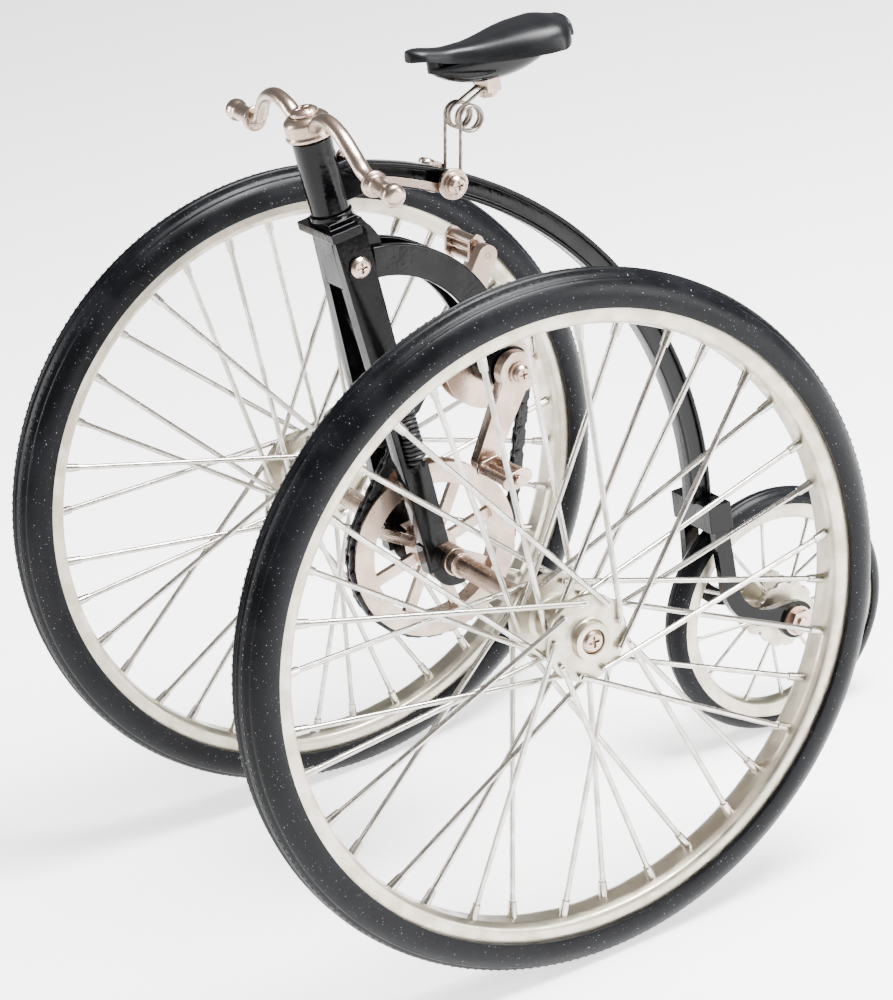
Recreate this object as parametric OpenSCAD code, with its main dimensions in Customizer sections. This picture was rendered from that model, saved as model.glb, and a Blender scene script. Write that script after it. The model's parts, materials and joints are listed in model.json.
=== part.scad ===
// Miniature rear-steered-style tricycle of the 1880s: two large driven front wheels on one axle,
// a raked steering fork with cranks and chain, a curved backbone and one small rear wheel.
// X is across the machine (positive to the rider's left), -Y is forwards, +Z is up.
// The origin is on the ground, under the middle of the whole machine.

/* [Front wheels] */
// Outer radius of each front tyre
wheel_r = 80; // [64:1:96]
// Distance between the middle planes of the two front wheels
track = 124; // [104:1:150]
// Height of tyre that shows outside the rim
tyre_h = 7.4; // [5:0.2:9]
// Width of a front tyre
tyre_w = 11.6; // [9:0.2:14]
// Width of a front rim
rim_w = 8.8; // [7:0.2:11]
// Radial depth of a front rim
rim_depth = 4.4; // [3:0.2:6]
// Spokes in each front wheel, half of them to each hub flange
spoke_count = 36; // [24:4:48]
// Diameter of a front spoke
spoke_d = 1.3; // [0.9:0.1:1.6]
// Width over the flanges of a front hub
hub_w = 17; // [14:0.5:24]
// Radius of a front hub flange
flange_r = 10; // [8:0.5:14]
// Radius of the front hub's barrel
barrel_r = 4.2; // [3.6:0.2:6]

/* [Rear wheel] */
// Distance from the front axle back to the rear axle
wheelbase = 92; // [80:1:120]
// Outer radius of the rear tyre
rear_r = 32; // [26:1:38]
// Height of tyre that shows outside the rear rim
rear_tyre_h = 3.6; // [3:0.1:5]
// Width of the rear tyre
rear_tyre_w = 6.8; // [5.6:0.2:8]
// Width of the rear rim
rear_rim_w = 5.6; // [4.6:0.2:7]
// Radial depth of the rear rim
rear_rim_depth = 4.2; // [3:0.2:5.4]
// Spokes in the rear wheel
rear_spoke_count = 12; // [8:2:20]
// Radius of the rear hub's two discs
rear_disc_r = 8.6; // [7:0.2:10]
// Distance between the middle planes of the rear fork's legs
rear_fork_gap = 18; // [16:0.5:24]

/* [Axle and drive] */
// Diameter of the front axle
axle_d = 5; // [4:0.2:6]
// Teeth on the large sprocket on the axle
axle_teeth = 47; // [38:1:54]
// Teeth on the small sprocket between the cranks
crank_teeth = 26; // [22:1:30]
// Distance from one chain link to the next
pitch = 2.8; // [2.4:0.1:3.2]
// Height of a chain link, across the chain
link_h = 2.4; // [1.8:0.1:2.6]
// Width of the chain, along the axle
chain_w = 2.6; // [2.2:0.1:3]
// How far the crank axle lies behind the front axle
crank_back = 21; // [18:0.5:26]
// How far the crank axle lies above the front axle
crank_up = 41.5; // [38:0.5:50]
// Distance between the crank axle and a pedal's spindle
crank_len = 22; // [18:0.5:26]
// Turn of the left crank from straight down, towards the front
crank_turn = 32; // [0:1:60]
// Turn of the left pedal about its spindle, from level
pedal_turn_left = 8; // [-90:1:90]
// Turn of the right pedal about its spindle, from level
pedal_turn_right = 80; // [-90:1:90]

/* [Steering] */
// Lean of the steering axis from upright, with its top forwards
head_lean = 6; // [0:0.5:10]
// How far the steering axis passes in front of the axle
axis_lead = 2.6; // [0:0.2:5]
// Height of the fork crown's underside above the axle
crown_v = 69.5; // [60:0.5:84]
// Height of the fork crown's block
crown_h = 12.5; // [9:0.5:16]
// Length of the head tube
head_len = 17; // [14:0.5:24]
// Diameter of the head tube
head_d = 9; // [8:0.2:11]
// Diameter of the steering column inside it
column_d = 5; // [4:0.2:5.6]
// Distance of a fork leg from the middle at the crown
leg_x = 4.9; // [4.6:0.1:7]
// How much further out a fork leg is at the axle
leg_splay = 4.9; // [3.6:0.1:6]
// How far the axle lies behind the middle of a fork leg's lower end
leg_lead = 3.4; // [2.6:0.1:4.4]
// Width of a fork leg, seen from the side
leg_w = 6.4; // [5:0.2:8]
// Thickness of a fork leg, seen from the front
leg_t = 3.6; // [2.8:0.2:4]
// Half of the handlebar's span, to the end of a grip
bar_span = 42; // [36:1:48]
// Thickness of the handlebar
bar_d = 3; // [2.4:0.2:3.4]
// Length of a grip, without its knob
grip_len = 9; // [7:0.5:13]
// Droop of the handlebar to the left
bar_droop = 3; // [0:0.5:4]
// Turn of the handlebar's left arm, forwards
bar_reach = 4; // [0:0.5:6]

/* [Backbone and saddle] */
// Radius that the backbone is bent to
backbone_r = 106; // [96:1:130]
// Height of the backbone's section
backbone_h = 5.6; // [4.4:0.2:7]
// Width of the backbone's section
backbone_w = 4.6; // [3.6:0.2:5]
// Length of the saddle
saddle_len = 40; // [34:1:48]
// Width of the saddle at the back
saddle_w = 21; // [17:0.5:26]
// Height of the saddle's top above the front axle
saddle_up = 117; // [110:0.5:125]
// How far the saddle's nose lies behind the front axle
saddle_back = 12.6; // [9:0.5:18]
// Diameter of the saddle spring's wire
wire_d = 0.8; // [0.6:0.1:1]
// Mean radius of the saddle spring's coils
coil_r = 2.9; // [2.4:0.1:3.4]

/* [Hidden] */
$fn = 48;

// Fits
run = 0.05;          // radial clearance of a shaft that turns in a bore
gap = 0.4;           // space between parts that pass each other

// Places of the main axes
front_y = (wheel_r - wheelbase - rear_r) / 2;
rear_y = front_y + wheelbase;
wheel_x = track / 2;
rim_r = wheel_r - tyre_h;
rear_rim_r = rear_r - rear_tyre_h;
axle_r = axle_d / 2;
crank_axis = [front_y + crank_back, wheel_r + crank_up];

// Chain run: both sprockets' pitch radii, and the angle by which the straight runs lean in
pitch_r1 = axle_teeth * pitch / (2 * PI);
pitch_r2 = crank_teeth * pitch / (2 * PI);
centres = norm([crank_back, crank_up]);
lean_in = asin((pitch_r1 - pitch_r2) / centres);
run_len = sqrt(centres * centres - pow(pitch_r1 - pitch_r2, 2));
wrap_1 = pitch_r1 * (180 + 2 * lean_in) * PI / 180;
wrap_2 = pitch_r2 * (180 - 2 * lean_in) * PI / 180;
chain_len = wrap_1 + wrap_2 + 2 * run_len;
links = 2 * round(chain_len / pitch / 2);

// Across the machine: fork legs, brackets, cranks and pedals
crown_x = leg_x - leg_t / 2 + 0.9;             // half-width of the crown's block
bracket_t = 2.2;
bracket_x = leg_x + leg_t / 2 - bracket_t / 2 - 1;    // middle of a bracket's plate
bracket_w = 7.2;
bracket_bend = 28;                             // radius that a bracket is bent to
boss_x = bracket_x + bracket_t / 2 + 7.1;      // outer end of a crank bush
crank_x = boss_x + gap + 1.6;                  // middle of a crank arm
crank_t = 3.2;
pedal_in = crank_x + crank_t / 2 + 1.9;        // inner face of a pedal
pedal_w = 12.5;                                // width over a pedal's end plates
crank_axle_r = 1.8;
spindle_r = 0.75;
roller_r = 1.15;
roller_gap = 2.25;       // from the spindle to a roller's axis

// Along the steering axis, measured up from the axle
column_r = column_d / 2;
shelf_v = crown_v + crown_h;
shelf_t = 2.1;
step_h = 1.3;
collar_h = 1.1;
crown_top = shelf_v + shelf_t + step_h + collar_h;
head_v = crown_top + gap;           // lower end of the head tube
cap_v = head_v + head_len + gap;               // underside of the head cap
cap_h = 5.4;
cap_r = head_d / 2 + 1;
bar_v = cap_v + 3;                             // where the bar enters the cap
bearing_r = axle_r + 0.9;
hook_r = bearing_r + 2.7;
leg_out = leg_x + leg_splay;                   // middle of a leg's foot

// Backbone ends, the spring bolt on its middle line, and the saddle
lug_y = head_d / 2 + 1.6;                      // backbone's start, behind the steering axis
backbone_a = on_axis(cap_v - 9.5) + [lug_y, 0];
rear_top = [rear_y - 17.5, rear_r + 36];       // middle of the rear fork's crown
backbone_c = arc_centre(backbone_a, rear_top, backbone_r);
bolt = on_backbone(front_y + 17.4);
coil = bolt + [7.4, 13.2];
bolt_r = 1.1;
strap_t = 0.8;
wire_x = backbone_w / 2 + strap_t + wire_d / 2 + 0.02;
coil_step = wire_d * 0.88;
arm_x = wire_x - coil_step - wire_d - gap;
washer_x = wire_x + wire_d / 2 + 0.1;
head_x = washer_x + 1.8;
saddle_z = wheel_r + saddle_up;
saddle_y = front_y + saddle_back;
pan_front = saddle_y + 5;
pan_len = 33;
pan_w = 10.5;
pan_top = saddle_z - 5.8;
pan_depth = 6;
pan_steps = 12;
clamp_at = [coil[0] + 7, pan_top - pan_depth - 0.9];

// Rear fork, measured from the rear axle
rear_axle_r = 1.5;
rear_leg_x = rear_fork_gap / 2;
rear_leg_t = 2.4;
rear_leg_w = 4.2;
rear_drop = [-17.5, 15];                       // where a leg starts to bend back
rear_bend = 12;
dropout_r = 4.8;

// A point on the steering axis, v above the axle's height: [y, z]
function on_axis(v) =
    [front_y - axis_lead - v * sin(head_lean), wheel_r + v * cos(head_lean)];

// Centre of the arc of radius r from a to b, on the side away from its bulge
function arc_centre(a, b, r) =
    let (m = (a + b) / 2, d = b - a, h = sqrt(r * r - pow(norm(d) / 2, 2)))
    m + h / norm(d) * [d[1], -d[0]];

// The point on the backbone's middle line at y: [y, z]
function on_backbone(y) =
    [y, backbone_c[1] + sqrt(pow(backbone_r, 2) - pow(y - backbone_c[0], 2))];

function heading(v) = atan2(v[1], v[0]);

// Place of a chain link: s is the way along the loop, the result is [y, z, angle]
up_line = heading([crank_back, crank_up]);
function chain_at(s) =
    s < wrap_1 ? around([front_y, wheel_r], pitch_r1,
                        up_line + 90 - lean_in + s / pitch_r1 * 180 / PI)
    : s < wrap_1 + run_len ? along(up_line - 90 + lean_in, pitch_r1, s - wrap_1)
    : s < wrap_1 + run_len + wrap_2 ? around(crank_axis, pitch_r2,
        up_line - 90 + lean_in + (s - wrap_1 - run_len) / pitch_r2 * 180 / PI)
    : back_along(up_line + 90 - lean_in, s - wrap_1 - run_len - wrap_2);
function around(c, r, a) = [c[0] + r * cos(a), c[1] + r * sin(a), a + 90];
function along(a, r, d) =
    [front_y + r * cos(a) - d * sin(a), wheel_r + r * sin(a) + d * cos(a), a + 90];
function back_along(a, d) =
    [crank_axis[0] + pitch_r2 * cos(a) - d * sin(a),
     crank_axis[1] + pitch_r2 * sin(a) + d * cos(a), a + 90];

// ---- placing helpers ----

// In the plane of a wheel: the children's X and Y become the machine's Y and Z, and their Z its X
module side_on(at = [0, 0], x = 0)
    translate([x, at[0], at[1]]) rotate([90, 0, 90]) children();

// In the steering's own frame: Z along the steering axis, with the front axle's height at 0
module on_steering()
    translate([0, front_y - axis_lead, wheel_r]) rotate([head_lean, 0, 0]) children();

module mirror_copy() {
    children();
    mirror([1, 0, 0]) children();
}

// A round bar across the machine, from x0 to x1
module cross_bar(x0, x1, r, at)
    translate([x0, at[0], at[1]]) rotate([0, 90, 0]) cylinder(h = x1 - x0, r = r);

// A round rod from a to b
module rod(a, b, r) {
    d = b - a;
    translate(a)
        rotate([0, acos(d[2] / norm(d)), atan2(d[1], d[0])])
            cylinder(h = norm(d), r = r);
}

// A bar of flat section bent to an arc from a to b, in the machine's side plane.
// The section is the children: X is outwards from the arc's centre, Y across the machine.
module bent_bar(a, b, r) {
    c = arc_centre(a, b, r);
    first = heading(b - c);
    sweep = heading(a - c) - first;
    side_on(c) rotate([0, 0, first])
        rotate_extrude(angle = sweep, $fn = 180) translate([r, 0]) children();
}

// A cross recess in the end of a screw
module cross_recess(r, depth) {
    for (a = [0, 90])
        rotate([0, 0, a])
            translate([-r, -0.22 * r, -depth]) cube([2 * r, 0.44 * r, depth + 1]);
}

// A pan-head screw's head standing on Z = 0, with a cross recess
module pan_head(r, h)
    difference() {
        union() {
            cylinder(h = h * 0.55, r = r);
            translate([0, 0, h * 0.55]) cylinder(h = h * 0.45, r1 = r, r2 = r * 0.72);
        }
        translate([0, 0, h]) cross_recess(r * 0.5, h * 0.5);
    }

// ---- wheels ----

// A round tyre of outer radius r and width w, seated in a rim's channel
module tyre(r, w, rim_edge, rim_width, wall)
    color("#16181c")
        rotate_extrude($fn = 180)
            intersection() {
                translate([r - w / 2, 0]) circle(r = w / 2, $fn = 64);
                union() {
                    translate([rim_edge, -w]) square([r, 2 * w]);
                    translate([rim_edge - 2 * wall, -rim_width / 2 + wall])
                        square([r, rim_width - 2 * wall]);
                }
            }

// A channel rim: two side walls and a bed under the tyre
module rim(r, w, depth, wall)
    color("#ddd6c6")
        rotate_extrude($fn = 180)
            polygon([
                [r - depth, -w * 0.28], [r - depth + wall, -w / 2], [r, -w / 2],
                [r, -w / 2 + wall], [r - 2 * wall, -w / 2 + wall],
                [r - 2 * wall, w / 2 - wall], [r, w / 2 - wall], [r, w / 2],
                [r - depth + wall, w / 2], [r - depth, w * 0.28]
            ]);

rim_wall = 0.9;
rear_rim_wall = 0.7;
module front_tyre() rotate([0, 90, 0]) tyre(wheel_r, tyre_w, rim_r, rim_w, rim_wall);
module front_rim() rotate([0, 90, 0]) rim(rim_r, rim_w, rim_depth, rim_wall);

module wheel_at(side)
    translate([side * wheel_x, front_y, wheel_r]) children();

module tyre_left() wheel_at(1) front_tyre();
module tyre_right() wheel_at(-1) front_tyre();
module rim_left() wheel_at(1) front_rim();
module rim_right() wheel_at(-1) front_rim();

// Front hub: a barrel with two flanges and an outer cap boss, bored for the axle
flange_t = 1.4;
boss_r = 4.3;
boss_h = 2.6;
recess_r = 2.8;
recess_h = 1.4;
module front_hub(side)
    wheel_at(side) rotate([0, side * 90, 0])
        color("#d9d2c4")
            difference() {
                union() {
                    translate([0, 0, -hub_w / 2]) cylinder(h = hub_w, r = barrel_r);
                    for (s = [-1, 1])
                        translate([0, 0, s * (hub_w - flange_t) / 2 - flange_t / 2])
                            cylinder(h = flange_t, r = flange_r);
                    translate([0, 0, hub_w / 2]) cylinder(h = boss_h, r = boss_r);
                }
                translate([0, 0, -hub_w]) cylinder(h = 1.5 * hub_w - 1, r = axle_r);
                translate([0, 0, hub_w / 2 + boss_h - recess_h])
                    cylinder(h = recess_h + 1, r = recess_r);
            }
module hub_left() front_hub(1);
module hub_right() front_hub(-1);

module hub_screws()
    for (side = [-1, 1])
        wheel_at(side) rotate([0, side * 90, 0])
            translate([0, 0, hub_w / 2 + boss_h - recess_h])
                color("#cdbfae") pan_head(recess_r - 0.15, 1.7);

// Front spokes: each flange has as many leading as trailing, laced on its two faces.
// A spoke is a pin through its flange, a straight wire and a nipple at the rim.
spoke_pin_r = flange_r - 1.5;
spoke_end_r = rim_r - rim_depth + 0.5;
spoke_lean = 72;                        // angle round the hub from a spoke's root to its end
spoke_off = flange_t / 2 + spoke_d * 0.6;
module front_spokes(side)
    wheel_at(side) color("#d8d6d0")
        for (i = [0:spoke_count - 1]) {
            face = i % 2 == 0 ? 1 : -1;           // which flange
            way = floor(i / 2) % 2 == 0 ? 1 : -1; // leading or trailing, on its outer or inner face
            a = i * 360 / spoke_count;
            root = a - way * spoke_lean;
            fx = face * (hub_w - flange_t) / 2;
            dx = face * way * spoke_off;
            yz = spoke_pin_r * [cos(root), sin(root)];
            p = [fx + dx, yz[0], yz[1]];
            q = [face * rim_w * 0.12, spoke_end_r * cos(a), spoke_end_r * sin(a)];
            rod(p, q, spoke_d / 2);
            rod(q + (p - q) * 0.055, q, spoke_d * 0.9);
            cross_bar(fx - abs(dx) - 0.3, fx + abs(dx) + 0.3, spoke_d * 0.55, yz);
        }
module spokes_left() front_spokes(1);
module spokes_right() front_spokes(-1);

// Axle: one shaft through both hubs, with collars outside the fork
module axle()
    color("#cbb9a8") {
        cross_bar(-wheel_x - hub_w / 2 + 1, wheel_x + hub_w / 2 - 1, axle_r, [front_y, wheel_r]);
        mirror_copy() {
            cross_bar(leg_out + leg_t / 2 + 1.2 + gap, leg_out + leg_t / 2 + 4, axle_r + 0.6,
                      [front_y, wheel_r]);
            cross_bar(wheel_x - hub_w / 2 - 2.5, wheel_x - hub_w / 2, axle_r + 1,
                      [front_y, wheel_r]);
        }
    }

// ---- sprockets and chain ----

// Toothed wheel: r is the pitch radius; the teeth stay just inside the chain
module toothed_disc(teeth, r, t) {
    tip = r - link_h / 2 - gap;
    difference() {
        cylinder(h = t, r = tip, center = true, $fn = 120);
        for (i = [0:teeth - 1])
            rotate([0, 0, i * 360 / teeth])
                translate([tip + pitch * 0.12, 0, 0])
                    cylinder(h = t + 1, r = pitch * 0.3, center = true, $fn = 16);
    }
}

sprocket_hub_r = 5.2;
axle_sprocket_arms = 8;
module axle_sprocket()
    color("#cdbcab") side_on([front_y, wheel_r])
        difference() {
            union() {
                difference() {
                    union() {
                        toothed_disc(axle_teeth, pitch_r1, chain_w + 0.9);
                        for (s = [-1, 1])
                            translate([0, 0, s * (chain_w / 2 + 0.85)])
                                cylinder(h = 0.8, r = pitch_r1 + 0.3, center = true, $fn = 120);
                    }
                    cylinder(h = 9, r = pitch_r1 - 4.6, center = true);
                }
                for (i = [0:axle_sprocket_arms / 2 - 1])
                    rotate([0, 0, (i + 0.3) * 360 / axle_sprocket_arms])
                        cube([2 * (pitch_r1 - 4), 2.6, 1.6], center = true);
                cylinder(h = 6.4, r = sprocket_hub_r, center = true);
            }
            cylinder(h = 9, r = axle_r, center = true);
        }

module crank_sprocket()
    color("#cdbcab") side_on(crank_axis)
        difference() {
            union() {
                toothed_disc(crank_teeth, pitch_r2, chain_w + 0.9);
                for (s = [-1, 1])
                    translate([0, 0, s * (chain_w / 2 + 0.85)])
                        cylinder(h = 0.8, r = pitch_r2 + 0.2, center = true, $fn = 96);
            }
            cylinder(h = 9, r = crank_axle_r, center = true);
        }

// Chain: flat figure-eight links, each lapping the next
module chain() {
    step = chain_len / links;
    color("#1b1b1e")
        for (i = [0:links - 1]) {
            c = chain_at(i * step);
            w = i % 2 == 0 ? chain_w : chain_w * 0.62;
            translate([0, c[0], c[1]]) rotate([c[2], 0, 0])
                link(w);
        }
}
module link(w)
    translate([-w / 2, 0, 0]) rotate([90, 0, 90])
        union() {
            for (s = [-1, 1])
                translate([s * pitch * 0.42, 0, 0]) cylinder(h = w, r = link_h / 2, $fn = 20);
            translate([-pitch * 0.42, -link_h * 0.3, 0]) cube([pitch * 0.84, link_h * 0.6, w]);
        }

// ---- cranks and pedals ----

module crank_axle()
    color("#c4b5a6")
        cross_bar(-crank_x - crank_t / 2 + 0.6, crank_x + crank_t / 2 - 0.6,
                  crank_axle_r, crank_axis);

crank_head_r = 4.9;
crank_end_r = 2.5;
module crank_arm()
    color("#cfc0b0")
        difference() {
            union() {
                linear_extrude(crank_t, center = true)
                    polygon([[-3.6, 0], [3.6, 0], [crank_end_r, -crank_len],
                             [-crank_end_r, -crank_len]]);
                cylinder(h = crank_t, r = crank_head_r, center = true);
                translate([0, -crank_len, 0])
                    cylinder(h = crank_t, r = crank_end_r, center = true);
            }
            translate([0, 0, -5]) cylinder(h = 5 + crank_t / 2 - 0.6, r = crank_axle_r);
            translate([0, 0, crank_t / 2 - 0.6]) cylinder(h = 2, r = crank_axle_r);
            translate([0, -crank_len, -5]) cylinder(h = 10, r = spindle_r);
        }

// Turn of a crank's arm from straight down, as seen from its own side
module crank_left() side_on(crank_axis, crank_x) rotate([0, 0, -crank_turn]) crank_arm();
module crank_right()
    side_on(crank_axis, -crank_x) rotate([0, 0, 180 - crank_turn]) mirror([0, 0, 1]) crank_arm();

function pedal_at(side) =
    crank_axis + side * crank_len * [-sin(crank_turn), -cos(crank_turn)];

module crank_screws()
    for (s = [-1, 1])
        side_on(crank_axis, s * (crank_x + crank_t / 2)) mirror([0, 0, s < 0 ? 1 : 0])
            color("#d5cabd") {
                cylinder(h = 0.7, r = 2.7);
                translate([0, 0, 0.7]) pan_head(2.1, 1.4);
                translate([0, 0, -0.6]) cylinder(h = 0.6, r = crank_axle_r - 0.05);
            }

module pedal_spindles()
    color("#b9aa9b")
        for (s = [-1, 1]) {
            at = pedal_at(s);
            x0 = crank_x - crank_t / 2;
            x1 = pedal_in + pedal_w + 0.9;
            mirror([s < 0 ? 1 : 0, 0, 0]) {
                cross_bar(x0, x1, spindle_r, at);
                cross_bar(crank_x + crank_t / 2, pedal_in - gap, 1.6, at);
                cross_bar(x1 - 0.5, x1 + 0.3, 1.2, at);
            }
        }

plate_t = 1;
// In a pedal's own frame, centred on its spindle and turned as it hangs
module at_pedal(side, x)
    mirror([side < 0 ? 1 : 0, 0, 0])
        side_on(pedal_at(side), x) rotate([0, 0, side > 0 ? pedal_turn_left : pedal_turn_right])
            children();

module pedal_frame(side)
    color("#cbbcad")
        difference() {
            for (x = [pedal_in + plate_t / 2, pedal_in + pedal_w - plate_t / 2])
                at_pedal(side, x) {
                    cube([2 * roller_gap, 4.2, plate_t], center = true);
                    for (s = [-1, 1])
                        translate([s * roller_gap, 0, 0])
                            cylinder(h = plate_t, r = roller_r + 0.5, center = true);
                }
            at_pedal(side, pedal_in - 1) cylinder(h = pedal_w + 2, r = spindle_r + run);
        }
module pedal_frame_left() pedal_frame(1);
module pedal_frame_right() pedal_frame(-1);

module pedal_rollers(side)
    color("#d3c5b6")
        at_pedal(side, pedal_in + plate_t)
            for (s = [-1, 1])
                translate([s * roller_gap, 0, 0])
                    cylinder(h = pedal_w - 2 * plate_t, r = roller_r);
module pedal_rollers_left() pedal_rollers(1);
module pedal_rollers_right() pedal_rollers(-1);

// ---- steering ----

module steering_column()
    color("#8d8f92") on_steering()
        translate([0, 0, crown_top]) cylinder(h = cap_v - crown_top, r = column_r);

// Crown: a block with a curved back, a shelf that stands out to the front, a step and a collar
shelf_x = leg_x + leg_t / 2 + 2;
crown_front = leg_w / 2 + 0.4;
crown_back = leg_w / 2 + 1.3;
fin_back = crown_back + 3.8;
module fork_crown()
    color("#0d0d0f") on_steering()
        union() {
            translate([-crown_x, 0, 0]) rotate([90, 0, 90])
                linear_extrude(2 * crown_x)
                    difference() {
                        polygon([[-crown_front, crown_v], [fin_back, crown_v + 1.4],
                                 [fin_back, shelf_v - 4], [crown_back, crown_top],
                                 [-2, crown_top], [-crown_front, shelf_v + 1]]);
                        // the back sweeps up in a hollow curve
                        translate([fin_back + 5.6, shelf_v + 5.4]) circle(r = 9.4);
                        translate([-20, shelf_v + shelf_t]) square([40, 20]);
                    }
            translate([-shelf_x, -crown_front - 1.4, shelf_v])
                cube([2 * shelf_x, crown_front + 1.4 + 2.6, shelf_t]);
            translate([-shelf_x + 3.2, -crown_front, shelf_v + shelf_t])
                cube([2 * shelf_x - 6.4, 2 * crown_front, step_h]);
            translate([0, 0, shelf_v + shelf_t + step_h])
                cylinder(h = collar_h, r = head_d / 2 + 0.4);
        }

// A leg runs from the crown's underside to the axle, leaning outwards and a little forwards.
// Seen in its own plane, Z runs up it and its foot is level with the axle.
leg_top = on_axis(crown_v) + [0.4, 0];
leg_foot = [front_y - leg_lead, wheel_r];
leg_len = norm(leg_top - leg_foot);
leg_lean = heading(leg_top - leg_foot) - 90;
splay_angle = atan(leg_splay / leg_len);
spring_len = 19;
spring_foot = 25;                        // lower end of the fork spring, above the axle
spring_r = 2.9;
spring_core = 2;
spring_lag = 1.3;                        // how far the spring stands behind its leg's middle
leg_top_w = leg_w + 1.7;                 // a leg is wider at the crown than at the axle
module at_leg(side)
    translate([side * leg_out, leg_foot[0], leg_foot[1]])
        rotate([leg_lean, 0, 0]) rotate([0, side * -splay_angle, 0]) children();

// Outline of a leg from its side, notched at the back for the spring
module leg_outline() {
    spring_head = spring_foot + spring_len;
    half = leg_w / 2 + 0.4;
    polygon([[-leg_w / 2, 4.6], [leg_w / 2, 4.6], [leg_w / 2 + 0.2, spring_foot],
             [-spring_r + 0.9, spring_foot], [-spring_r + 0.9, spring_head],
             [half, spring_head], [leg_top_w / 2, leg_len], [leg_top_w / 2, leg_len + 16],
             [-leg_top_w / 2, leg_len + 16], [-leg_top_w / 2, leg_len], [-half, spring_head],
             [-leg_w / 2 - 0.2, spring_foot]]);
}
module fork_leg(side)
    color("#0d0d0f")
        difference() {
            union() {
                at_leg(side) {
                    rotate([90, 0, 90]) linear_extrude(leg_t, center = true) leg_outline();
                    translate([0, spring_lag, spring_foot - 1])
                        cylinder(h = spring_len + 2, r = spring_core);
                    translate([-leg_t / 2, -leg_w / 2 - 0.5, -1]) cube([leg_t, 3.4, 7]);
                }
                // hook under and behind the axle
                side_on([front_y, wheel_r], side * leg_out)
                    difference() {
                        cylinder(h = leg_t, r = hook_r, center = true);
                        linear_extrude(leg_t + 1, center = true)
                            polygon([[0, 0], [9, -6.5], [12, 12], [-5, 12], [-4, 5]]);
                    }
            }
            cross_bar(-wheel_x, wheel_x, bearing_r, [front_y, wheel_r]);
            on_steering() {
                translate([-crown_x, -20, crown_v]) cube([2 * crown_x, 40, 40]);
                translate([-20, -20, shelf_v]) cube([40, 40, 20]);
            }
        }
module fork_left() fork_leg(1);
module fork_right() fork_leg(-1);

// Close-wound spring round the core of each leg, between its upper and lower parts
spring_turns = 16;
module fork_springs() {
    p = spring_len / spring_turns;
    for (side = [-1, 1])
        at_leg(side)
            translate([0, spring_lag, spring_foot])
                color("#101012")
                    rotate_extrude()
                        polygon(concat(
                            [[spring_core, 0]],
                            [for (i = [0:spring_turns - 1], k = [0, 1, 2, 3])
                                [spring_r - (k == 0 || k == 3 ? 0.5 : 0),
                                 p * (i + [0.02, 0.3, 0.7, 0.98][k])]],
                            [[spring_core, spring_len]]));
}

module axle_bearings()
    color("#cbb9a8")
        mirror_copy()
            difference() {
                cross_bar(leg_out - leg_t / 2 - 1, leg_out + leg_t / 2 + 1.2, bearing_r,
                          [front_y, wheel_r]);
                cross_bar(0, wheel_x, axle_r + run, [front_y, wheel_r]);
            }

module head_cap()
    color("#d6c7b8") on_steering()
        difference() {
            translate([0, 0, cap_v])
                union() {
                    cylinder(h = cap_h - 1.2, r = cap_r);
                    translate([0, 0, cap_h - 1.2]) cylinder(h = 1.2, r1 = cap_r, r2 = cap_r - 1);
                }
            mirror_copy()
                translate([cap_r - 2, 0, bar_v]) rotate([0, 90, 0]) cylinder(h = 4, r = bar_d / 2);
        }

module head_screw()
    color("#d9ccbf") on_steering()
        translate([0, 0, cap_v + cap_h]) pan_head(3.2, 1.5);

// Handlebar: each side rises out of the cap, humps and drops steeply to its grip
swell = 0.07;                          // how far a bend stands out from the rods it joins
grip_in = bar_span - grip_len - 3;
bar_path = [
    [cap_r - 2, 0, bar_v], [cap_r + 1, 0, bar_v + 1.6], [cap_r + 3.5, 0, bar_v + 3.2],
    [cap_r + 8.5, 0, bar_v + 3.7], [grip_in - 11, 0.2, bar_v + 2.1],
    [grip_in - 6.5, 0.4, bar_v - 1.4], [grip_in - 3.5, 0.6, bar_v - 4.9],
    [grip_in, 0.8, bar_v - 6.1]
];
// The two arms are bent by hand: both droop to the left, and the left one reaches forward
module bar_side(side)
    on_steering() translate([0, 0, bar_v]) rotate([0, bar_droop, side > 0 ? -bar_reach : 0])
        translate([0, 0, -bar_v]) mirror([side < 0 ? 1 : 0, 0, 0]) children();

module handlebar()
    color("#d6c7b8")
        for (side = [-1, 1])
            bar_side(side)
                for (i = [0:len(bar_path) - 2]) {
                    rod(bar_path[i], bar_path[i + 1], bar_d / 2);
                    if (i > 0) translate(bar_path[i]) sphere(r = bar_d / 2 + swell);
                }

// Grip: a collar disc, a stem and a round end knob, turned as one piece
grip_at = bar_path[len(bar_path) - 1];
module grip()
    translate(grip_at) rotate([0, 90, 0])
        rotate_extrude()
            polygon([
                [0, 0], [2.6, 0], [3, 0.4], [3, 1.3], [2, 1.9], [1.9, grip_len - 2],
                [2.3, grip_len - 1], [2.9, grip_len], [3.1, grip_len + 1.4],
                [2.7, grip_len + 2.5], [1.6, grip_len + 3], [0, grip_len + 3]
            ]);
module grip_left() color("#d9cbbd") bar_side(1) grip();
module grip_right() color("#d9cbbd") bar_side(-1) grip();

// Brackets from the crown back and down to the crank axle
bracket_a = on_axis(crown_v + 4.1) + [4.7, 0];
bush_r = 5.4;
module bracket_arm(x)
    color("#0e0e10")
        difference() {
            translate([x, 0, 0]) {
                bent_bar(bracket_a, crank_axis, bracket_bend)
                    square([bracket_w, bracket_t], center = true);
                side_on(crank_axis) cylinder(h = bracket_t, r = bush_r, center = true);
            }
            cross_bar(-20, 20, crank_axle_r + 1, crank_axis);
        }
module bracket_left() bracket_arm(bracket_x);
module bracket_right() bracket_arm(-bracket_x);

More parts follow.
